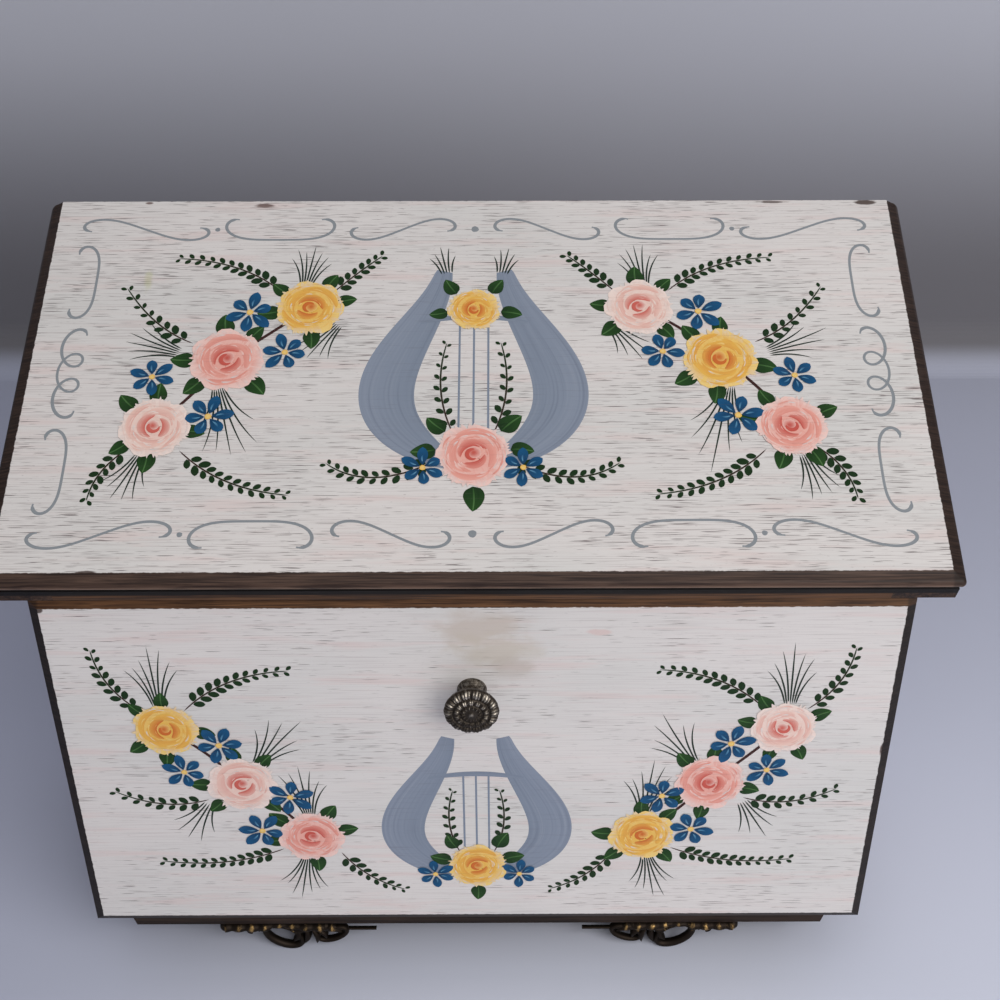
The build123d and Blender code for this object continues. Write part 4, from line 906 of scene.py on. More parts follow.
def across_of(path: np.ndarray) -> np.ndarray:
    """Unit vectors square to flat paths, whose points run along the last axis but one."""
    run = np.gradient(path, axis=-2)
    run /= np.linalg.norm(run, axis=-1, keepdims=True) + 1e-12
    return np.stack([-run[..., 1], run[..., 0]], -1)


def heading(angle: Union[float, np.ndarray]) -> np.ndarray:
    """Unit vectors on a drawing for angles in degrees."""
    away = np.radians(np.asarray(angle, float))
    return np.stack([np.cos(away), np.sin(away)], -1)


@dataclass
class CastFoot:
    """One openwork foot: beaded bar, large smooth loop, leaf cluster, small loop and a thin tail.

    It is drawn in millimetres, with right running from the outer end inwards and up from the table.
    """

    node: str
    side: int
    middle_y: float
    height: float = 14.4
    half_depth: float = 3.1
    outer_x: float = 99.0
    bar_start: float = 2.3
    bar_length: float = 41.0
    leaves: tuple[tuple[tuple[float, float], float, float, float], ...] = (
        ((30.4, 10.6), 246, 6.8, 1.3), ((33.0, 10.8), 262, 7.6, 1.5), ((35.4, 10.6), 280, 7.4, 1.4),
        ((37.4, 10.2), 306, 5.4, 1.2), ((33.0, 11.6), 190, 5.2, 1.3), ((37.6, 11.6), 346, 9.4, 1.5))

    def bars(self) -> list[tuple[np.ndarray, np.ndarray, np.ndarray]]:
        """Path, half thickness and half depth of each bar of the casting.

        The bar's beads follow |cos|, and it is thin over the large loop's eye. A loop is a tilted
        ellipse, a leaf a bowed line from its root along its heading, and the scroll a circle that draws
        in.

        Returns:
            One entry for each bar.
        """
        t = np.linspace(0, 1, 72)
        still = 0 * t
        found = []

        def add(path: np.ndarray, thick: np.ndarray, deep: np.ndarray) -> None:
            """Keep one bar, drawn in millimetres."""
            found.append((path * MM, thick * MM, deep * MM))

        def loop(centre: Spot, half: Spot, tilt: float) -> np.ndarray:
            """A closed ellipse about its centre, tilted by an angle in degrees."""
            turn = 2 * math.pi * t + math.pi / 2
            right, up = half[0] * np.cos(turn)[:, None], half[1] * np.sin(turn)[:, None]
            return np.array(centre) + right * heading(tilt) + up * heading(tilt + 90)

        beads = 0.8 + 0.2 * np.abs(np.cos(t * math.pi * 8))
        right = self.bar_start + self.bar_length * t
        over = np.exp(-((right - 24) / 5.5) ** 4)
        add(np.stack([right, 12.1 + 0.7 * over], -1), (2.2 - 0.75 * over) * beads * (1 - 0.1 * t),
            self.half_depth * beads * (1 - 0.3 * over))
        low = np.sin(np.pi * t) ** 2
        add(loop((24.3, 7.0), (7.6, 4.6), -33), 0.95 + 0.6 * low, 1.8 + still)
        add(loop((42.8, 8.0), (5.9, 3.1), 24), 0.8 + 0.35 * low, 1.6 + still)
        drop = np.clip(t / 0.42, 0, 1)
        tail = np.stack([40 + 19.7 * t, 12.4 - 2.1 * drop ** 2 * (3 - 2 * drop)], -1)
        add(tail, 1.9 - 1.35 * drop, 2.6 - 1.7 * drop)
        swell = np.sin(math.pi * (0.12 + 0.86 * t)) ** 0.7
        bow = 0.9 * np.sin(math.pi * t)[:, None]
        for root, away, reach, thick in self.leaves:
            leaf = np.array(root) + reach * t[:, None] * heading(away) + bow * heading(away + 90)
            add(leaf, thick * swell, 1.2 + 1.2 * swell)
        curl = 1.5 * math.pi * t
        scroll = [12.4 + (2.8 - 1.7 * t) * np.cos(curl), 10.4 + (2.4 - 1.5 * t) * np.sin(curl)]
        add(np.stack(scroll, -1), 1.0 - 0.3 * t, 1.9 + still)
        dome = 2.3 * np.sin(math.pi * (0.06 + 0.9 * t)) ** 0.5
        add(np.stack([0.3 + 4.2 * t, 12.1 + still], -1), dome, dome)
        return found

    def build(self, material: bpy.types.Material) -> None:
        """Sweep the bars, join them in one mesh and keep as the relief their roundness, rubbed beads along
        the bar's top and a rise that makes the casting lighter towards the top.

        Args:
            material: The finish.
        """
        sides = 14
        flat = np.stack([tube(*bar, sides) for bar in self.bars()])
        flat[..., 1] = np.clip(flat[..., 1], 0.0, self.height * MM)
        faces = grid_faces(flat.shape[1], sides, count=flat.shape[0], round_columns=True)
        x = self.side * (self.outer_x * MM - flat[..., 0])
        points = np.stack([x, self.middle_y + flat[..., 2], flat[..., 1]], -1)
        right, up, out = (flat[..., k] / MM for k in range(3))
        front = np.abs(out) / self.half_depth
        knock = 0.5 + 0.5 * np.sin(right * 1.3) * np.sin(up * 1.7 + 1)
        crest = np.abs(np.cos((right - self.bar_start) / self.bar_length * math.pi * 8)) ** 8 * (up > 9.8)
        crest = crest * (0.45 + 0.55 * np.sin(right * 0.83 + 0.6) ** 2) * front
        # The last term makes the casting lighter towards the top.
        relief = 0.14 + 0.26 * front * knock + 0.6 * crest + 0.25 * (up / self.height - 0.5)
        piece = Piece(f"{self.node}_casting", points.reshape(-1, 3), faces, relief=np.clip(relief, 0, 1))
        foot = piece.build(material, "case")
        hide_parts(self.node)


@dataclass
class RingRolls:
    """Seven velvet rolls that pinch rings between them, plump on top and sunk at the ends."""

    finish: Velvet
    count: int = 7
    gap: float = 0.4 * MM
    end_length: float = 3.0 * MM
    foot: float = 0.6 * MM

    def build(self) -> None:
        """Shape each roll as a stadium section carried along X.

        The section is a half circle over two upright sides; its size grows from 0 at each end within 3 mm
        as the quarter of an ellipse, and the crown sinks by a thirtieth towards both ends.
        """
        low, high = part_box("ring_rolls")
        pitch = (high.y - low.y + self.gap) / self.count
        radius = (pitch - self.gap) / 2
        rise = high.z - low.z - radius
        along = np.linspace(-1, 1, 61)
        end = np.clip((1 - np.abs(along)) * (high.x - low.x) / 2 / self.end_length, 0, 1)
        fill = np.sqrt(1 - (1 - end) ** 2)
        turn = np.linspace(0, math.pi, 17)
        sunk = [radius * 0.96, radius]
        section_y = np.concatenate([sunk, radius * np.cos(turn), [-radius, -radius * 0.96]])
        section_z = np.concatenate([[0.0, self.foot], rise + radius * np.sin(turn), [self.foot, 0.0]])
        x = (low.x + high.x) / 2 + along * (high.x - low.x) / 2
        tall = (1 - 0.03 * along ** 2) * (0.72 + 0.28 * fill)
        material = self.finish.make()
        for index in range(self.count):
            wave = 1 - 0.012 * np.sin(along * 9 + index * 1.7) ** 2
            middle = low.y + radius + index * pitch
            y = middle + section_y[None, :] * (0.55 + 0.45 * fill * wave)[:, None]
            z = low.z + section_z[None, :] * tall[:, None]
            rings = np.stack([np.broadcast_to(x[:, None], y.shape), y, z], -1)
            roll = wrapped(f"ring_roll_{index + 1}", capped(rings)).build(material, "case")
            if index == 0:
                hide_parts("ring_rolls")


@dataclass
class VelvetPad:
    """A thin velvet-covered card glued to a board, its pile edge softly rounded."""

    name: str
    node: str
    body: str
    low: Spot
    high: Spot
    thin: int
    trim: Optional[Placing] = None

    def build(self, material: bpy.types.Material) -> None:
        """Loft seven rings through the card, the outer ones drawn in, and trim its top if asked.

        The first and last ring lie in the card's faces, so that these shade flat.

        Args:
            material: The velvet.
        """
        low, high = np.array(self.low), np.array(self.high)
        wide = [axis for axis in range(3) if axis != self.thin]
        thick = high[self.thin] - low[self.thin]
        rise = np.array([0.0, 0.0, 0.12, 0.5, 0.88, 1.0, 1.0])
        inset = thick * np.array([0.7, 0.35, 0.08, 0.0, 0.08, 0.35, 0.7])
        rings = capped(rounded_ring(tuple(low[axis] + inset for axis in wide),
                                    tuple(high[axis] - inset for axis in wide),
                                    low[self.thin] + rise * thick, np.full(len(rise), 0.8 * thick)))
        placed = np.empty_like(rings)
        for own, axis in enumerate((*wide, self.thin)):
            placed[..., axis] = rings[..., own]
        pad = wrapped(self.name, self.trim(placed) if self.trim else placed).build(material, self.body)
        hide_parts(self.node)


@dataclass
class BrushKit:
    """Collects brush strokes drawn flat on a panel and turns them into one raised mesh.

    A stroke is a grid: t runs along its middle line and c across it from -1 to 1. Its half width is w
    sin(pi t^k)^f, with k set so that the widest place is at the belly, and its height is the layer's plus
    a dome of 1 - c^2. Later layers lie higher, so they cover the earlier ones.
    """

    name: str
    body: str
    place: Placing
    material: bpy.types.Material
    step: float = 0.02 * MM
    dome: float = 0.015 * MM
    points: list[np.ndarray] = field(default_factory=list)
    faces: list[np.ndarray] = field(default_factory=list)
    shades: list[np.ndarray] = field(default_factory=list)
    hairs: list[np.ndarray] = field(default_factory=list)
    total: int = 0

    def ribbon(self, path: np.ndarray, half_width: np.ndarray, shade: np.ndarray, layer: int,
               across: int) -> None:
        """Add strokes along given middle lines, in millimetres on the panel.

        Args:
            path: Strokes by points by two.
            half_width: Strokes by points.
            shade: Colours, spread over strokes by points by across by four.
            layer: Height in the pile of strokes.
            across: Points across each stroke.
        """
        c = np.linspace(1, -1, across)
        path, half_width = path * MM, half_width * MM
        reach = (half_width[:, :, None] * c)[..., None]
        flat = path[:, :, None, :] + across_of(path)[:, :, None, :] * reach
        rise = layer * self.step + self.dome * (1 - c ** 2)
        grid = np.concatenate([flat, np.broadcast_to(rise, flat.shape[:3])[..., None]], -1)
        self.points.append(grid.reshape(-1, 3))
        self.faces.append(grid_faces(grid.shape[1], across, count=grid.shape[0]) + self.total)
        self.shades.append(np.broadcast_to(shade, grid.shape[:3] + (4,)).reshape(-1, 4))
        along = np.linspace(0, 1, grid.shape[1])[None, :, None]
        own = (self.total * 0.37 + 5.3 * np.arange(grid.shape[0]))[:, None, None] % 97
        self.hairs.append(np.stack(np.broadcast_arrays(along, c[None, None, :], own), -1).reshape(-1, 3))
        self.total += grid.shape[0] * grid.shape[1] * across

    def lay(self, start: np.ndarray, bend: np.ndarray, end: np.ndarray, width: np.ndarray, layer: int,
            root: Colour, tip: Colour, belly: float = 0.5, full: float = 0.7, steps: int = 11,
            across: int = 5) -> None:
        """Add strokes on quadratic curves, in millimetres on the panel.

        Args:
            start: Strokes by two.
            bend: The curve's middle control point, strokes by two.
            end: Strokes by two.
            width: Half width of each stroke.
            layer: Height in the pile of strokes.
            root: Colour at the start.
            tip: Colour at the end.
            belly: Share of the length where the stroke is widest.
            full: Exponent of the width; small is blunt, large is pointed.
            steps: Points along a stroke.
            across: Points across a stroke.
        """
        start, bend, end = (np.atleast_2d(np.asarray(p, float))[:, None] for p in (start, bend, end))
        t = np.linspace(0, 1, steps)[:, None]
        path = start * (1 - t) ** 2 + bend * (2 * t * (1 - t)) + end * t ** 2
        swell = np.clip(np.sin(math.pi * t[:, 0] ** (math.log(0.5) / math.log(belly))), 0, 1) ** full
        half = np.broadcast_to(np.asarray(width, float), (len(start),))[:, None] * swell
        shade = np.array(root) * (1 - t) + np.array(tip) * t
        self.ribbon(path, half, shade[:, None, :], layer, across)

    def line(self, path: np.ndarray, half: np.ndarray, colour: Colour, layer: int) -> None:
        """Add one thin line along a path, in millimetres."""
        self.ribbon(path[None], half[None], np.array(colour), layer, 3)

    def build(self) -> None:
        """Turn every stroke laid so far into one mesh on the panel."""
        points, faces, shades, hairs = (
            np.concatenate(part) for part in (self.points, self.faces, self.shades, self.hairs))
        piece = Piece(self.name, self.place(points), faces, pigment=shades, bristle=hairs)
        piece.build(self.material, self.body, closed=False)


class Bloom(Enum):
    """Colours of a garden flower: deep heart, petal, pale edge."""

    PINK = (tone(206, 92, 80), tone(241, 172, 157), tone(247, 212, 202))
    CREAM = (tone(212, 104, 92), tone(243, 206, 192), tone(247, 228, 218))
    YELLOW = (tone(212, 112, 50), tone(240, 188, 88), tone(246, 212, 134))


class Curl(Enum):
    """How a scroll line winds: both ends to one side, to opposite sides, or with small loops on its way."""

    HOOKED = 1
    SWAYED = 2
    LOOPED = 3


LEAF = (tone(22, 50, 19), tone(38, 76, 29))
MIDRIB = tone(84, 124, 70)
BLADE = tone(31, 47, 37)
TWIG = tone(62, 34, 30)
BLUE = (tone(12, 58, 92), tone(22, 86, 130), tone(104, 158, 188))
SLATE = (tone(131, 141, 157), tone(140, 149, 165))
BORDER = tone(142, 147, 151)
DAISY_LAYER = 14


def blend(first: Colour, second: Colour, share: Union[float, np.ndarray]) -> np.ndarray:
    """A colour between two: a share of the second over the first."""
    return np.array(first) * (1 - share) + np.array(second) * share


@dataclass(frozen=True)
class Swag:
    """One side's flowers on a panel, as the right side has them; the left side is mirrored.

    Places and lengths are millimetres from the panel's middle. A spray is its root, control point, tip
    and number of leaf pairs. A tuft is its place, its heading in degrees and how far that leans to the
    right side, its fan, its number of blades and their length. A flower is its place and radius, with the
    colours of both sides, and a daisy is its place, radius and twist.
    """

    sprays: tuple[tuple[Spot, Spot, Spot, int], ...]
    tufts: tuple[tuple[Spot, float, float, float, int, float], ...]
    flowers: tuple[tuple[Spot, float, Bloom, Bloom], ...]
    daisies: tuple[tuple[Spot, float, float], ...]


@dataclass
class FlowerPainter:
    """Draws the flowers of one panel with a brush kit; places are millimetres from the panel's middle."""

    kit: BrushKit
    seed: int

    def __post_init__(self) -> None:
        """Keep one seeded source of small differences."""
        self.dice = np.random.default_rng(self.seed)

    def disc(self, at: Spot, radius: float, middle: Colour, rim: Colour, layer: int) -> None:
        """A round patch of paint with a slightly wavy edge, shaded from its middle to its rim.

        Args:
            at: Its middle.
            radius: Its radius.
            middle: Colour in the middle.
            rim: Colour at the edge.
            layer: Height in the pile of strokes.
        """
        turn = np.linspace(0, 2 * math.pi, 49)
        lobes = self.dice.uniform(0, 2 * math.pi, 2)
        edge = radius * (1 + 0.04 * np.sin(3 * turn + lobes[0]) + 0.03 * np.sin(7 * turn + lobes[1]))
        ring = at + np.stack([np.cos(turn), np.sin(turn)], -1) * edge[:, None] * 0.5
        shade = blend(middle, rim, np.linspace(0, 1, 7)[:, None] ** 1.6)
        self.kit.ribbon(ring[None], edge[None] * 0.5, shade[None, None], layer, 7)

    def crescent(self, at: Spot, radius: float, start: float, sweep: float, width: float, inner: Colour,
                 outer: Colour, layer: int) -> None:
        """A petal's edge as one bent stroke round the flower, dark on one side and fading on the other.

        Args:
            at: Middle of the flower.
            radius: Distance of the stroke's start; it draws in by a seventh along the way.
            start: Heading of the first end, in degrees.
            sweep: Angle that the stroke runs through, in degrees.
            width: Half width of the stroke.
            inner: Colour at the side of the flower's middle.
            outer: Colour at the far side.
            layer: Height in the pile of strokes.
        """
        t = np.linspace(0, 1, 21)
        path = at + heading(start + sweep * t) * (radius * (1 - 0.14 * t))[:, None]
        half = width * np.sin(math.pi * t ** 0.8) ** 0.6
        shade = blend(inner, outer, np.linspace(0, 1, 7)[:, None])
        self.kit.ribbon(path[None], half[None], shade[None, None], layer, 7)

    def bloom(self, at: Spot, radius: float, kind: Bloom, twist: float, layer: int) -> None:
        """A full round flower.

        It is a shaded disc under two rings of soft petals, a feathered rim, bent strokes that wind to its
        heart and three sets of fine hair strokes.

        Args:
            at: Middle of the flower.
            radius: Its radius.
            kind: Its colours.
            twist: Turn of the whole flower, in degrees.
            layer: Height in the pile of strokes.
        """
        deep, petal, pale = kind.value
        shadow = blend(petal, deep, 0.34)
        light = blend(petal, pale, 0.55)
        at = np.asarray(at, float)
        dice, lay = self.dice, self.kit.lay
        self.disc(at, radius * 0.9, petal, pale, layer)
        for level, (count, inner, outer, wide, turn, edge) in enumerate(
                ((7, 0.3, 1.0, 0.36, 0.0, pale), (6, 0.2, 0.76, 0.3, 31.0, light))):
            angle = twist + turn + np.arange(count) * 360 / count + dice.uniform(-6, 6, count)
            reach = radius * (outer + dice.uniform(-0.07, 0.05, count))[:, None]
            lay(at + heading(angle - 16) * radius * inner,
                at + heading(angle + 18) * radius * (inner + outer) / 2, at + heading(angle + 8) * reach,
                radius * wide, layer + 1 + level, petal, edge, belly=0.64, full=0.5, steps=13, across=7)
        feathers = 54
        angle = dice.uniform(0, 360, feathers)
        reach = dice.uniform(0.92, 1.07, feathers)[:, None] * radius
        lay(at + heading(angle) * radius * 0.66, at + heading(angle + 3) * radius * 0.85,
            at + heading(angle + 4) * reach, radius * dice.uniform(0.03, 0.07, feathers), layer + 2, petal,
            blend(pale, CREAM, 0.5), full=0.8, steps=7, across=3)
        for level, (away, start, sweep, width, inner, outer) in enumerate((
                (0.8, 20, 120, 0.1, shadow, petal), (0.78, 205, 95, 0.09, shadow, petal),
                (0.62, 110, 140, 0.13, shadow, petal), (0.58, 300, 120, 0.12, shadow, petal),
                (0.4, 10, 170, 0.12, deep, shadow), (0.36, 215, 130, 0.11, deep, shadow))):
            self.crescent(at, radius * away, twist + start, sweep, radius * width, inner, outer,
                          layer + 3 + level // 2)
        for count, shade, near, far in ((30, pale, 0.3, 0.9), (22, shadow, 0.35, 0.86),
                                        (16, CREAM, 0.5, 0.95)):
            angle = dice.uniform(0, 360, count)
            away = dice.uniform(near, far, count)[:, None] * radius
            lay(at + heading(angle) * away, at + heading(angle + 15) * away * 1.07,
                at + heading(angle + 30) * away * 0.98,
                radius * dice.uniform(0.012, 0.03, count), layer + 5,
                shade, petal, belly=0.4, full=0.8, steps=7, across=3)
        self.disc(at + heading(twist + 60) * radius * 0.06, radius * 0.2, deep, light, layer + 6)
        self.crescent(at, radius * 0.17, twist + 60, 230, radius * 0.06, deep, deep, layer + 7)

    def daisy(self, at: Spot, radius: float, twist: float) -> None:
        """A blue flower of six pointed uneven petals, each with a pale stroke, round a yellow eye.

        Args:
            at: Its middle.
            radius: Its radius.
            twist: Its turn, in degrees.
        """
        at = np.asarray(at, float)
        angle = twist + np.arange(6) * 60.0 + self.dice.uniform(-5, 5, 6)
        reach = radius * self.dice.uniform(0.84, 1.08, 6)[:, None]
        way = heading(angle)
        self.kit.lay(at + way * radius * 0.14, at + way * radius * 0.55, at + way * reach, radius * 0.235,
                     DAISY_LAYER, BLUE[0], BLUE[1], belly=0.6, full=0.62)
        self.kit.lay(at + way * radius * 0.3, at + heading(angle + 7) * radius * 0.5,
                     at + way * radius * 0.66, radius * 0.035, DAISY_LAYER + 1, BLUE[2], BLUE[1])
        self.disc(at, radius * 0.13, Bloom.YELLOW.value[2], Bloom.YELLOW.value[1], DAISY_LAYER + 2)

    def leaves(self, at: Sequence[Spot], angle: Sequence[float], length: float, layer: int = 4) -> None:
        """Broad heart-shaped leaves with a lighter midrib.

        Args:
            at: Their roots.
            angle: Their headings, in degrees.
            length: Their mean length.
            layer: Height in the pile of strokes.
        """
        at, angle = np.asarray(at, float), np.asarray(angle, float)
        size = length * self.dice.uniform(0.88, 1.1, len(angle))[:, None]
        middle = at + heading(angle + 10) * size * 0.5
        end = at + heading(angle) * size
        self.kit.lay(at, middle, end, size[:, 0] * 0.37, layer, LEAF[0], LEAF[1], belly=0.38, full=0.72)
        self.kit.lay(at, middle, end, size[:, 0] * 0.03, layer + 1, LEAF[1], MIDRIB, full=0.4)

    def spray(self, start: Spot, bend: Spot, end: Spot, count: int, length: float = 4.3,
              layer: int = 2) -> None:
        """A curved stem with small leaves in pairs that shrink towards its tip.

        Args:
            start: Root of the stem.
            bend: Its control point.
            end: Its tip.
            count: Leaves on each side.
            length: Length of the largest leaf.
            layer: Height in the pile of strokes.
        """
        start, bend, end = (np.asarray(p, float) for p in (start, bend, end))
        self.kit.lay(start, bend, end, 0.3, layer, TWIG, LEAF[0], full=0.2, steps=25, across=3)
        t = np.linspace(0.12, 0.97, count)[:, None]
        spot = start * (1 - t) ** 2 + bend * 2 * t * (1 - t) + end * t ** 2
        run = (bend - start) * (1 - t) + (end - bend) * t
        along = np.degrees(np.arctan2(run[:, 1], run[:, 0]))
        size = length * (1 - 0.5 * t) * self.dice.uniform(0.85, 1.1, (count, 1))
        for side in (-1, 1):
            base = spot + heading(along) * 0.45 * side + heading(along + side * 90) * 0.45
            tip = base + heading(along + side * 44) * size
            self.kit.lay(base, (base + tip) / 2 + heading(along) * 0.3, tip, size[:, 0] * 0.31, layer + 1,
                         LEAF[0], LEAF[0], full=0.62, steps=9, across=3)

    def blades(self, at: Spot, angle: float, fan: float, count: int, length: float) -> None:
        """A tuft of fine grass blades that fan out and curve away.

        Args:
            at: Its root.
            angle: Its heading, in degrees.
            fan: Angle between its middle and its last blade.
            count: Number of blades.
            length: Length of the longest blade.
        """
        share = np.linspace(-1, 1, count)
        size = (length * (1 - 0.35 * np.abs(share)) * self.dice.uniform(0.85, 1.1, count))[:, None]
        base = np.asarray(at, float) + heading(angle + 90) * share[:, None] * 1.8
        bend = base + heading(angle + share * fan * 0.35) * size * 0.55
        end = base + heading(angle + share * fan) * size
        self.kit.lay(base, bend, end, 0.3, 1, BLADE, BLADE, belly=0.3, full=0.5, steps=13, across=3)

    def scroll(self, curl: Curl, start: Spot, end: Spot, upright: bool = False, loops: int = 3,
               half: float = 0.62) -> None:
        """A grey scroll line that fills the box between two corners, so it stays in the painted field.

        With u from -1 to 1 along the line, the heading is 3.5 u |u|^2 where both ends curl to one side and
        -0.6 + 3.7 |u|^3 where they curl to opposite sides, added up along the line. A looped line is the
        trochoid x = s - 0.16 sin(2 pi n s), y = -cos(2 pi n s), for n = 3 loops.

        Args:
            curl: How it winds.
            start: Corner of the box where the line begins.
            end: Opposite corner.
            upright: Whether it runs up the panel instead of along it.
            loops: Number of loops of a looped line.
            half: Half width of the line.
        """
        u = np.linspace(-1, 1, 161)
        if curl is Curl.LOOPED:
            s = (u + 1) / 2
            turn = 2 * math.pi * loops * s
            flat = np.stack([s - 0.48 / loops * np.sin(turn), -np.cos(turn)], -1)
        else:
            angle = 3.5 * u * u ** 2 if curl is Curl.HOOKED else -0.6 + 3.7 * np.abs(u) ** 3
            flat = np.cumsum(np.stack([np.cos(angle), np.sin(angle)], -1), axis=0)
        flat = (flat - flat.min(0)) / (flat.max(0) - flat.min(0))
        flat = flat[:, ::-1] if upright else flat
        start, end = np.asarray(start, float), np.asarray(end, float)
        press = half * (0.7 + 0.35 * u ** 2) * np.clip((1 - np.abs(u)) * 14, 0.45, 1)
        self.kit.line(start + flat * (end - start), press, BORDER, 0)

    def swash(self, path: np.ndarray, half: np.ndarray, layer: int) -> None:
        """A broad flat slate-blue stroke along a path, a shade lighter at one edge."""
        self.kit.ribbon(path[None], half[None], blend(*SLATE, np.linspace(0, 1, 9)[:, None]), layer, 9)

    def lyre(self, at: Spot, height: float, width: float) -> None:
        """Two broad slate scrolls that face each other, joined at the foot, with three thin strings.

        Each arm's right is the width times a sine that swells in the middle and turns out at the top, and
        its up is even along the stroke.

        Args:
            at: Middle of the figure.
            height: Its height.
            width: Half of its width.
        """
        t = np.linspace(0, 1, 61)

        def drawn(right: Union[float, np.ndarray], up: np.ndarray) -> np.ndarray:
            """Points at shares of the width and of the height."""
            return np.stack(np.broadcast_arrays(at[0] + width * right, at[1] + height * up), -1)

        sway = 0.12 + 0.95 * np.sin(math.pi * t ** 0.85) ** 0.9 - 0.28 * t + 0.5 * t ** 6
        up = t - 0.5 - 0.06 * np.sin(math.pi * t)
        half = height * (0.014 + 0.1 * np.sin(math.pi * t ** 0.8) ** 0.8 + 0.02 * t ** 8)
        for side in (-1, 1):
            self.swash(drawn(side * sway, up)[::side], half[::side], 0)
        foot = drawn((t - 0.5) * 0.8, -0.47 - 0.03 * np.cos(2 * math.pi * (t - 0.5)))
        self.swash(foot, height * 0.035 * np.sin(math.pi * (0.05 + 0.9 * t)) ** 0.4, 1)
        for shift in (-0.16, 0.0, 0.16):
            self.kit.line(drawn(shift, 0.62 * t - 0.38), np.full(61, 0.35), SLATE[0], 1)
        yoke = drawn(0.6 * (2 * t - 1), 0.25 - 0.03 * (2 * t - 1) ** 2)
        self.kit.line(yoke, 1.1 * np.sin(math.pi * (0.06 + 0.88 * t)) ** 0.4, SLATE[0], 2)

    def swag(self, side: int, plan: Swag) -> None:
        """One side's sprays and grass, its flowers with twigs and leaves between them, and its daisies.

        Args:
            side: -1 on the left, 1 on the right.
            plan: What the side holds.
        """
        for *curve, count in plan.sprays:
            self.spray(*[(side * right, up) for right, up in curve], count)
        for (right, up), middle, lean, fan, count, length in plan.tufts:
            self.blades((side * right, up), middle + side * lean, fan, count, length)
        places = [np.array([side * right, up]) for (right, up), *_ in plan.flowers]
        for first, second in zip(places, places[1:]):
            middle = (first + second) / 2
            self.kit.lay(first, middle + (3, 2), second, 0.55, 3, TWIG, TWIG, full=0.3, steps=15, across=3)
        for index, (_, radius, left, right) in enumerate(plan.flowers):
            at = places[index]
            angle = np.array([30.0, 75.0, 158.0, 205.0, 292.0]) + 38 * index + side * 17
            self.leaves(at + heading(angle) * radius * 0.84, angle, radius * 0.66)
            self.bloom(at, radius, right if side > 0 else left, 50.0 * index + side * 20, 7 + 2 * index)
        for (right, up), radius, twist in plan.daisies:
            self.daisy((side * right, up), radius, twist)

    def border(self, half_x: float, half_y: float, band: float) -> None:
        """A running scroll border: looped lines up the sides, scrolls along the edges, and dots.

        Args:
            half_x: Half of its width, to the outer side of the lines.
            half_y: Half of its height.
            band: Width of the border.
        """
        inner_x, inner_y, dot_y = half_x - band * 0.8, half_y - band, half_y - band / 2
        for side in (-1, 1):
            for end in (-1, 1):
                out, low = end * half_y, end * inner_y
                self.scroll(Curl.SWAYED, (side * half_x, low), (side * (half_x - 44), out))
                self.scroll(Curl.HOOKED, (side * (half_x - 50), low), (side * (half_x - 88), out))
                self.scroll(Curl.SWAYED, (side * (half_x - 94), out), (side * 7, low))
                self.disc((side * (half_x - 47), end * dot_y), 0.9, BORDER, BORDER, 0)
                start = (side * inner_x, end * (inner_y - 3))
                self.scroll(Curl.HOOKED, start, (side * half_x, end * 23), True)
            self.scroll(Curl.LOOPED, (side * inner_x, -18), (side * half_x, 18), True)
        for end in (-1, 1):
            self.disc((0.0, end * dot_y), 1.3, BORDER, BORDER, 0)


LID_SWAG = Swag(
    sprays=(((48, 34), (40, 43), (32, 50), 7), ((66, 34), (80, 48), (103, 49), 11),
            ((110, -30), (120, -38), (121, -50), 7), ((94, -31), (80, -46), (58, -48), 11),
            ((94, 12), (108, 18), (119, 36), 8)),
    tufts=(((58, 36), 90, 8, 24, 7, 21), ((84, -6), 270, -14, 26, 7, 32), ((98, 8), 90, -70, 24, 6, 24),
           ((46, 20), 270, 40, 24, 6, 20), ((106, -33), 270, 20, 24, 6, 20)),
    flowers=(((56, 27), 11.5, Bloom.YELLOW, Bloom.CREAM), ((82, 5), 12.5, Bloom.PINK, Bloom.YELLOW),
             ((103, -22), 11.5, Bloom.CREAM, Bloom.PINK)),
    daisies=(((76, 25), 8.6, 20), ((63, 8), 8.0, 50), ((86, -18), 8.4, 10), ((106, -2), 7.6, 40)))
DOOR_SWAG = Swag(
    sprays=(((48, -38), (40, -52), (26, -57), 8), ((68, -36), (88, -46), (112, -42), 12),
            ((110, 28), (122, 38), (123, 54), 8), ((96, 28), (82, 44), (60, 45), 11),
            ((92, -12), (108, -18), (124, -8), 8)),
    tufts=(((58, -20), 90, -6, 26, 7, 25), ((60, -40), 270, 10, 26, 7, 23), ((104, 30), 92, 0, 24, 7, 26),
           ((74, 4), 90, 34, 26, 6, 25), ((92, -14), 270, 30, 24, 5, 22)),
    flowers=(((58, -30), 11.5, Bloom.PINK, Bloom.YELLOW), ((80, -5), 12.0, Bloom.CREAM, Bloom.PINK),
             ((103, 20), 11.0, Bloom.YELLOW, Bloom.CREAM)),
    daisies=(((64, -11), 8.2, 20), ((75, -27), 8.4, 50), ((86, 13), 8.4, 10), ((99, 1), 7.6, 40)))


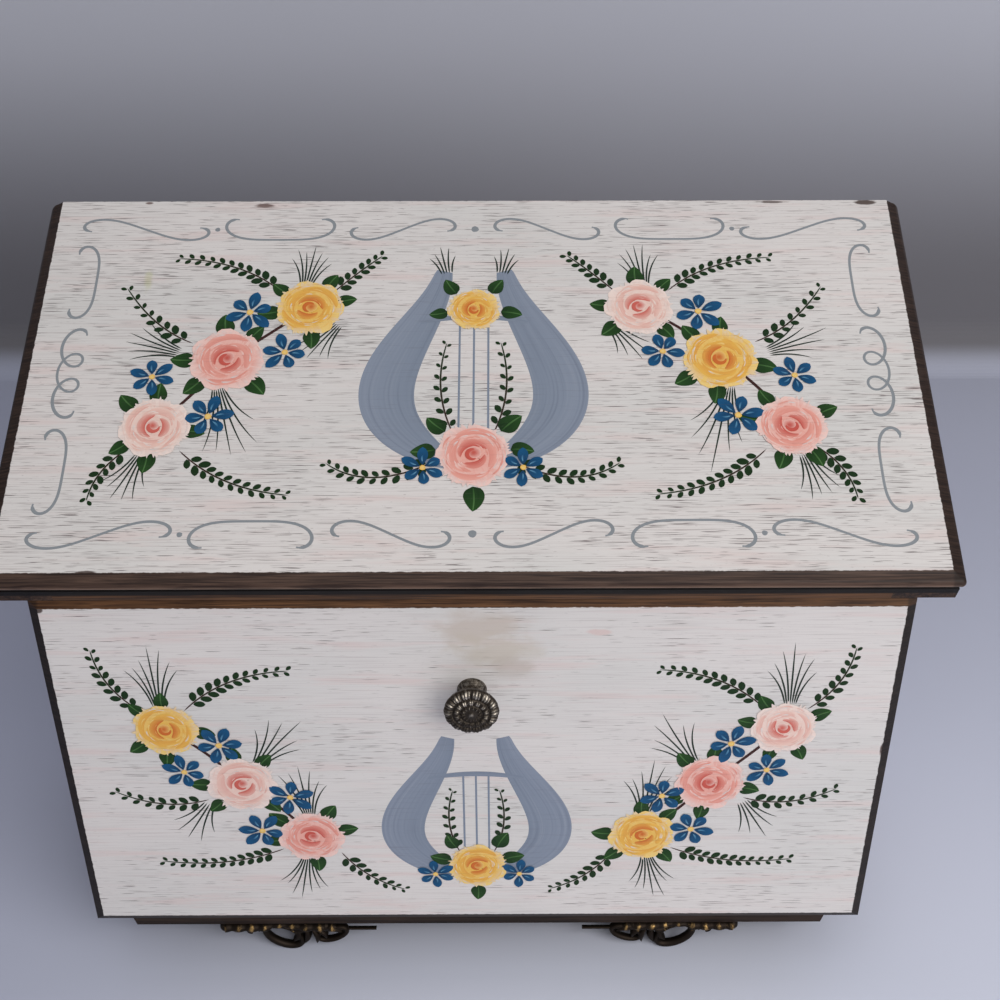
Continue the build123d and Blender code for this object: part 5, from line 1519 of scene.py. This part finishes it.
def paint_lid(painter: FlowerPainter) -> None:
    """Lay out the lid: scroll border, lyre in the middle and a swag of three flowers at each side.

    Args:
        painter: The lid's painter.
    """
    painter.border(137.5, 67.0, 9.5)
    painter.lyre((0, 3), 80, 30)
    for side in (-1, 1):
        painter.swag(side, LID_SWAG)
    for side in (-1, 1):
        painter.spray((side * 10, -34), (side * 32, -48), (side * 47, -36), 10, layer=4)
        painter.spray((side * 6, -26), (side * 14, -8), (side * 9, 12), 8, 3.6, 4)
        painter.daisy((side * 16, -38), 7.4, 26 * side)
        painter.leaves([(side * 9, -24), (side * 12, -31)], [90 - side * 48, 90 - side * 96], 8.5, 5)
        painter.blades((side * 9.5, 42), 90 - side * 12, 20, 5, 13)
    painter.leaves([(0, -45)], [270], 9)
    painter.bloom((0, -33), 12.0, Bloom.PINK, 15, 8)
    painter.bloom((0, 26), 9.0, Bloom.YELLOW, 70, 8)
    painter.leaves([(-9, 25), (9, 25), (-6, 33), (6, 33)], [190, -10, 122, 58], 7, 6)
    painter.kit.build()


def paint_door(painter: FlowerPainter) -> None:
    """Lay out the door: a small lyre under the knob and a rising swag of flowers at each side.

    Args:
        painter: The door's painter.
    """
    painter.lyre((0, -17), 66, 27)
    for side in (-1, 1):
        painter.swag(side, DOOR_SWAG)
    for side in (-1, 1):
        painter.spray((side * 6, -38), (side * 12, -24), (side * 8, -8), 7, 3.4, 4)
        painter.leaves([(side * 9, -42), (side * 7, -36)], [90 - side * 75, 90 - side * 28], 8, 5)
        painter.daisy((side * 15, -49), 7.0, 26 * side)
    painter.leaves([(0, -55)], [270], 8)
    painter.bloom((0, -45), 10.5, Bloom.YELLOW, 15, 8)
    painter.kit.build()


@dataclass(frozen=True)
class Lamp:
    """One square soft lamp: where it stands, what it faces, its side, its power and its colour."""

    name: str
    at: Triple
    aim: Triple
    size: float
    watts: float
    colour: Triple

    def build(self) -> None:
        """Add the lamp, unseen by the camera."""
        data = bpy.data.lights.new(self.name, "AREA")
        data.shape = "SQUARE"
        data.size = self.size
        data.energy = self.watts
        data.color = self.colour
        lamp = bpy.data.objects.new(self.name, data)
        way = np.array(self.aim, float) - np.array(self.at, float)
        way /= np.linalg.norm(way)
        lamp.location = self.at
        lamp.rotation_euler = (math.acos(-way[2]), 0, math.atan2(way[0], -way[1]) + math.pi)
        lamp.visible_camera = False
        bpy.context.scene.collection.objects.link(lamp)


@dataclass
class Studio:
    """Pale table and grey wall behind it with painted shade, soft lamps over the front, and the camera."""

    wall_y: float = 0.43
    bend: float = 0.03
    reach: float = 2.4
    wall_top: float = 2.0
    sink: float = 0.2 * MM
    eye: Triple = (0.0092, -0.4427, 0.4602)
    yaw: float = math.radians(0.32)
    pitch: float = math.radians(33.66)
    lens: float = 54.0
    shift: tuple[float, float] = (-0.009, 0.014)
    air: Colour = (0.86, 0.88, 0.94, 1)
    air_strength: float = 0.32
    lamps: tuple[Lamp, ...] = (
        Lamp("lamp_main", (0.76, -1.1, 0.94), (0, 0, 0.12), 1.1, 14.2, (1.0, 0.985, 0.965)),
        Lamp("lamp_top", (0.1, -0.7, 1.5), (0, 0, 0.1), 1.1, 3.0, (0.98, 0.99, 1.0)))

    def paper(self, name: str, clear_back: bool) -> bpy.types.Material:
        """Matt paper with painted shade: its colour darkens over the table and towards the foot of the
        wall.

        Args:
            name: The material's name.
            clear_back: Whether its far side is clear, so that the box shows from behind it.

        Returns:
            The material.
        """
        sheet = Sheet(name)
        flat = sheet.lying(Lie.LEVEL)
        right, back, up = sheet.axes(flat)
        table = tone(236, 240, 255)
        # Painted shade on the table: darker towards the wall, towards the left and towards the far front.
        for value, start, end, shade in ((back, -0.28, 0.3, tone(186, 189, 206)),
                                         (right, 0.06, -0.3, tone(178, 182, 202)),
                                         (back, -0.34, -0.8, tone(160, 163, 176))):
            table = sheet.mix(sheet.band(value, start, end), table, shade)
        cloud = sheet.grain(flat, (0.4, 0.4, 0.4))
        table = sheet.mix(sheet.times(cloud, 0.1), table, tone(240, 238, 246))
        # Painted shade on the wall: darker near the table, lighter higher up.
        wall = sheet.mix(sheet.band(up, 0.05, 0.26), tone(116, 114, 118), tone(194, 195, 204))
        colour = sheet.mix(sheet.band(up, 0.0, 0.015), table, wall)
        material = sheet.finish(Base_Color=colour, Roughness=0.8)
        if clear_back:
            end = next(node for node in sheet.tree.nodes if node.type == "OUTPUT_MATERIAL")
            behind = sheet.add("ShaderNodeNewGeometry", {}).outputs["Backfacing"]
            feeds = {0: behind, 1: end.inputs["Surface"].links[0].from_socket,
                     2: sheet.add("ShaderNodeBsdfTransparent", {}).outputs[0]}
            sheet.feed(end.inputs["Surface"], sheet.add("ShaderNodeMixShader", feeds).outputs[0])
        return material

    def backdrop(self) -> None:
        """Lay the table, and sweep a wall up behind it from a quarter circle."""
        x = np.linspace(-self.reach, self.reach, 9)
        turn = np.linspace(0, math.pi / 2, 17)
        bow_y = np.append(self.wall_y - self.bend * (1 - np.sin(turn)), self.wall_y)
        bow_z = np.append(self.bend * (1 - np.cos(turn)) - self.sink, self.wall_top)
        for name, y, z in (("studio_table", x, 0 * x), ("studio_wall", bow_y, bow_z)):
            points = np.stack(np.broadcast_arrays(x[None, :], y[:, None], z[:, None]), -1).reshape(-1, 3)
            faces = grid_faces(len(y), len(x))[:, ::-1]
            mesh = bpy.data.meshes.new(name)
            mesh.from_pydata(points.tolist(), [], faces.tolist())
            mesh.materials.append(self.paper(name, name == "studio_wall"))
            stage = bpy.data.objects.new(name, mesh)
            bpy.context.scene.collection.objects.link(stage)

    def build(self) -> None:
        """Set the stage, the lights, the world and the camera."""
        self.backdrop()
        for lamp in self.lamps:
            lamp.build()
        world = bpy.data.worlds.new("studio_air")
        world.use_nodes = True
        air = world.node_tree.nodes["Background"].inputs
        air["Color"].default_value = self.air
        air["Strength"].default_value = self.air_strength
        data = bpy.data.cameras.new("camera")
        data.lens = self.lens
        data.sensor_width = 36.0
        data.shift_x, data.shift_y = self.shift
        data.clip_start = 0.01
        camera = bpy.data.objects.new("camera", data)
        camera.location = self.eye
        camera.rotation_euler = (math.pi / 2 - self.pitch, 0.0, -self.yaw)
        scene = bpy.context.scene
        scene.world = world
        scene.collection.objects.link(camera)
        scene.camera = camera
        scene.view_settings.view_transform = "Standard"


def lid_spot(up: float, out: float) -> Triple:
    """A point of the lid's middle line, up its slope and out from its underside, in the row frame."""
    return tuple(float(value) for value in lid_place(np.array([0.0, up, out])))


def painted_finishes() -> dict[str, RubbedPaint]:
    """The rubbed paint of each painted board.

    Returns:
        Finishes by node name.
    """
    lid_blots = (
        Blot(-0.112, 0.040, 1.6 * MM, 6 * MM, tone(196, 196, 140), 0.4, 0.9, 0.5),
        Blot(-0.0745, 0.0735, 3.6 * MM, 0.8 * MM, tone(112, 90, 84), 0.9, 0.6, 0.35),
        Blot(-0.116, 0.0748, 1.4 * MM, 0.6 * MM, tone(112, 90, 84), 0.9, 0.6, 0.35),
        Blot(0.139, 0.0745, 3.5 * MM, 1.0 * MM, STAIN, 0.9, 0.8),
        Blot(0.106, 0.0748, 5 * MM, 0.6 * MM, STAIN, 0.8, 0.8),
        Blot(-0.118, -0.0757, 3 * MM, 0.8 * MM, STAIN, 0.9, 0.6),
    )
    door_blots = (
        Blot(0.002, 0.063, 13 * MM, 5.5 * MM, tone(204, 191, 180), 0.8, 0.6, 0.55),
        Blot(0.006, 0.053, 11 * MM, 6 * MM, tone(206, 195, 181), 0.75, 0.6, 0.55),
        Blot(0.012, 0.046, 6 * MM, 4.5 * MM, tone(192, 180, 170), 0.5, 0.5, 0.6),
        Blot(0.040, 0.0605, 3 * MM, 1.0 * MM, tone(222, 196, 190), 0.7, 0.8, 0.4),
        Blot(-0.1368, 0.0700, 1.2 * MM, 1.0 * MM, STAIN, 0.9, 0.5),
        Blot(0.1370, 0.010, 0.8 * MM, 3.0 * MM, STAIN, 0.9, 0.5),
    )
    half_door = DOOR_HEIGHT / 2
    finishes = {
        "lid_board": RubbedPaint(
            "lid_paint", Lie.LID, lid_spot(LID_FIELD_DEPTH / 2, LID_THICKNESS), LID_FIELD_HALF,
            LID_FIELD_DEPTH / 2, 1.12, lid_blots, LID_THICKNESS - LID_NOSE_LOW,
            (tone(42, 30, 26), tone(92, 71, 60))),
        # The door's bare bevels are darker than the other boards' bare wood, painted shade on its sides and
        # bottom; its top bevel above the crown is lighter.
        "door_panel": RubbedPaint(
            "door_paint", Lie.FRONT, (0, FACE_Y, CASE_Z + half_door), CASE_HALF - DOOR_BEVEL,
            half_door - DOOR_BEVEL, 0.6, door_blots, bare=(tone(24, 18, 15), tone(66, 52, 43)),
            crown=half_door - 3.4 * MM),
    }
    for name, lie, side in (("left", Lie.LEFT, -1), ("right", Lie.RIGHT, 1)):
        middle = (side * CASE_HALF, 4 * MM, 130 * MM)
        finishes[f"side_{name}"] = RubbedPaint(f"{name}_paint", lie, middle, 57 * MM, 96 * MM, 0.9)
    return finishes


def dress_nodes(nodes: dict[str, bpy.types.Object]) -> None:
    """Give every CAD node that stays its finish.

    Args:
        nodes: CAD objects by name.
    """
    on_rail = {"origin": lid_spot(0.0, 0.0), "groove_shadow": (3.6 * MM, 4.2 * MM)}
    dark = (tone(24, 18, 15), tone(64, 49, 40))
    pale = (tone(48, 31, 20), tone(118, 82, 54))
    plain = (tone(54, 38, 29), tone(98, 74, 56))
    bright = (tone(96, 68, 46), tone(142, 108, 78))
    chosen: dict[object, tuple[str, ...]] = {
        StainedWood("stained_wood_along"): ("front_rail",),
        StainedWood("stained_low_with_painted_shade", Lie.LEVEL, GRAIN_ALONG, *dark): ("plinth_front", "plinth_back"),
        StainedWood("stained_rail", Lie.LID, GRAIN_ALONG, *pale, **on_rail): (
            "lid_rail_front", "lid_rail_back"),
        StainedWood("stained_rail_up", Lie.LID, GRAIN_UP, **on_rail): ("lid_rail_left", "lid_rail_right"),
        StainedWood("stained_wood_deep", Lie.LEVEL, GRAIN_UP): ("plinth_left", "plinth_right"),
        StainedWood("stained_back", Lie.FRONT, millimetres(1.4, 60, 20), *plain, 0.5): (
            "back_board", "partition_board"),
        StainedWood("inner_wood", Lie.LEVEL, millimetres(60, 1.3, 30), *bright, 0.5): (
            "bottom_board", "shelf_board", "well_dividers"),
        PlainMetal("hinge_brass", tone(206, 168, 98), tone(128, 96, 56)): (
            "door_hinge_door_leaves", "door_hinge_case_leaves", "lid_hinge_lid_leaves",
            "lid_hinge_case_leaves", "key_rosette", "door_hinge_screws", "lid_hinge_screws",
            "case_hinge_screws", "foot_screws"),
        PlainMetal("hook_brass", tone(214, 178, 108), tone(146, 112, 66), 0.24): ("necklace_hooks",),
        PlainMetal("bright_steel", tone(188, 188, 190), tone(120, 118, 116), 0.26): (
            "door_hinge_pins", "lid_hinge_pins", "catch_strike", "knob_screw", "movement_screws",
            "comb_screws", "winding_arbor", "stop_rod", "mainspring", "governor_spindle"),
        PlainMetal("comb_steel", tone(172, 176, 184), tone(118, 122, 132), 0.22): ("comb",),
        PlainMetal("cast_zinc", tone(150, 150, 150), tone(112, 112, 110), 0.5, millimetres(1)): (
            "movement_bedplate", "governor_frame"),
        PlainMetal("gilt_brass", tone(216, 178, 96), tone(170, 132, 66), 0.22): (
            "music_cylinder", "great_wheel", "crown_wheel", "spring_housing", "winding_key"),
        Moulded("black_plastic", tone(26, 26, 27)): ("governor_fan",),
        Moulded("magnet_grey", tone(48, 48, 50), 0.6): ("catch_magnet",),
        SilveredGlass("silvered_glass"): ("lid_mirror",),
    }
    paints = {finish: (name,) for name, finish in painted_finishes().items() if name != "lid_board"}
    for finish, names in (chosen | paints).items():
        material = finish.make()
        for name in names:
            for slot in nodes[name].material_slots:
                slot.material = material


def build_linings() -> None:
    """Make the velvet pads of the well, the compartment and the door."""
    velvet = Velvet("red_velvet").make()
    for name, node, body, thin in (("well_floor_pad", "well_lining_floor", "case", 2),
                                   ("compartment_pad", "compartment_lining", "case", 2),
                                   ("door_pad", "door_lining", "door", 1)):
        low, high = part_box(node)
        VelvetPad(name, node, body, tuple(low), tuple(high), thin).build(velvet)
    low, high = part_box("well_lining_walls")
    thick = 1.0 * MM
    drop = 10.0 * MM / math.cos(SLOPE)

    def under_slope(points: np.ndarray) -> np.ndarray:
        """Scale heights above the well floor so that the top edge follows the lid's slope."""
        top = LID_FRONT_Z + (points[..., 1] - LID_FRONT_Y) * math.tan(SLOPE) - drop
        found = points.copy()
        found[..., 2] = low.z + (points[..., 2] - low.z) / (high.z - low.z) * (top - low.z)
        return found

    for name, near, far, thin in (
            ("front", (low.x + thick, low.y, low.z), (high.x - thick, low.y + thick, high.z), 1),
            ("back", (low.x + thick, high.y - thick, low.z), (high.x - thick, high.y, high.z), 1),
            ("left", (low.x, low.y, low.z), (low.x + thick, high.y, high.z), 0),
            ("right", (high.x - thick, low.y, low.z), (high.x, high.y, high.z), 0)):
        pad = VelvetPad(f"well_wall_{name}", "well_lining_walls", "case", near, far, thin, under_slope)
        pad.build(velvet)


def main() -> None:
    """Load the frame, dress it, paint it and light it."""
    logging.basicConfig(level=logging.INFO, format="%(name)s: %(message)s")
    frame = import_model()
    dress_nodes(frame["nodes"])
    MouldedLid(painted_finishes()["lid_board"]).build()
    RosetteKnob(AntiqueCasting("antique_knob", tone(62, 55, 48), tone(190, 180, 166), 0.22)).build()
    casting = AntiqueCasting("antique_feet", tone(44, 36, 30), tone(190, 154, 98), 0.3).make()
    for name in ("foot_front_left", "foot_front_right", "foot_back_left", "foot_back_right"):
        low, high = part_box(name)
        CastFoot(name, 1 if low.x > 0 else -1, (low.y + high.y) / 2).build(casting)
    RingRolls(Velvet("ring_roll_velvet")).build()
    build_linings()

    def on_lid(flat: np.ndarray) -> np.ndarray:
        """From the middle of the lid's top to the row frame."""
        return lid_place(flat + np.array([0.0, LID_FIELD_DEPTH / 2, LID_THICKNESS]))

    def on_door(flat: np.ndarray) -> np.ndarray:
        """From the middle of the door's face to the row frame."""
        return np.stack([flat[..., 0], FACE_Y - flat[..., 2], CASE_Z + DOOR_HEIGHT / 2 + flat[..., 1]], -1)

    lid_kit = BrushKit("lid_flowers", "lid", on_lid, BrushedPigment("lid_pigment", Lie.LID).make())
    paint_lid(FlowerPainter(lid_kit, 11))
    door_kit = BrushKit("door_flowers", "door", on_door, BrushedPigment("door_pigment", Lie.FRONT).make())
    paint_door(FlowerPainter(door_kit, 23))
    Studio().build()


if __name__ == "__main__":
    main()
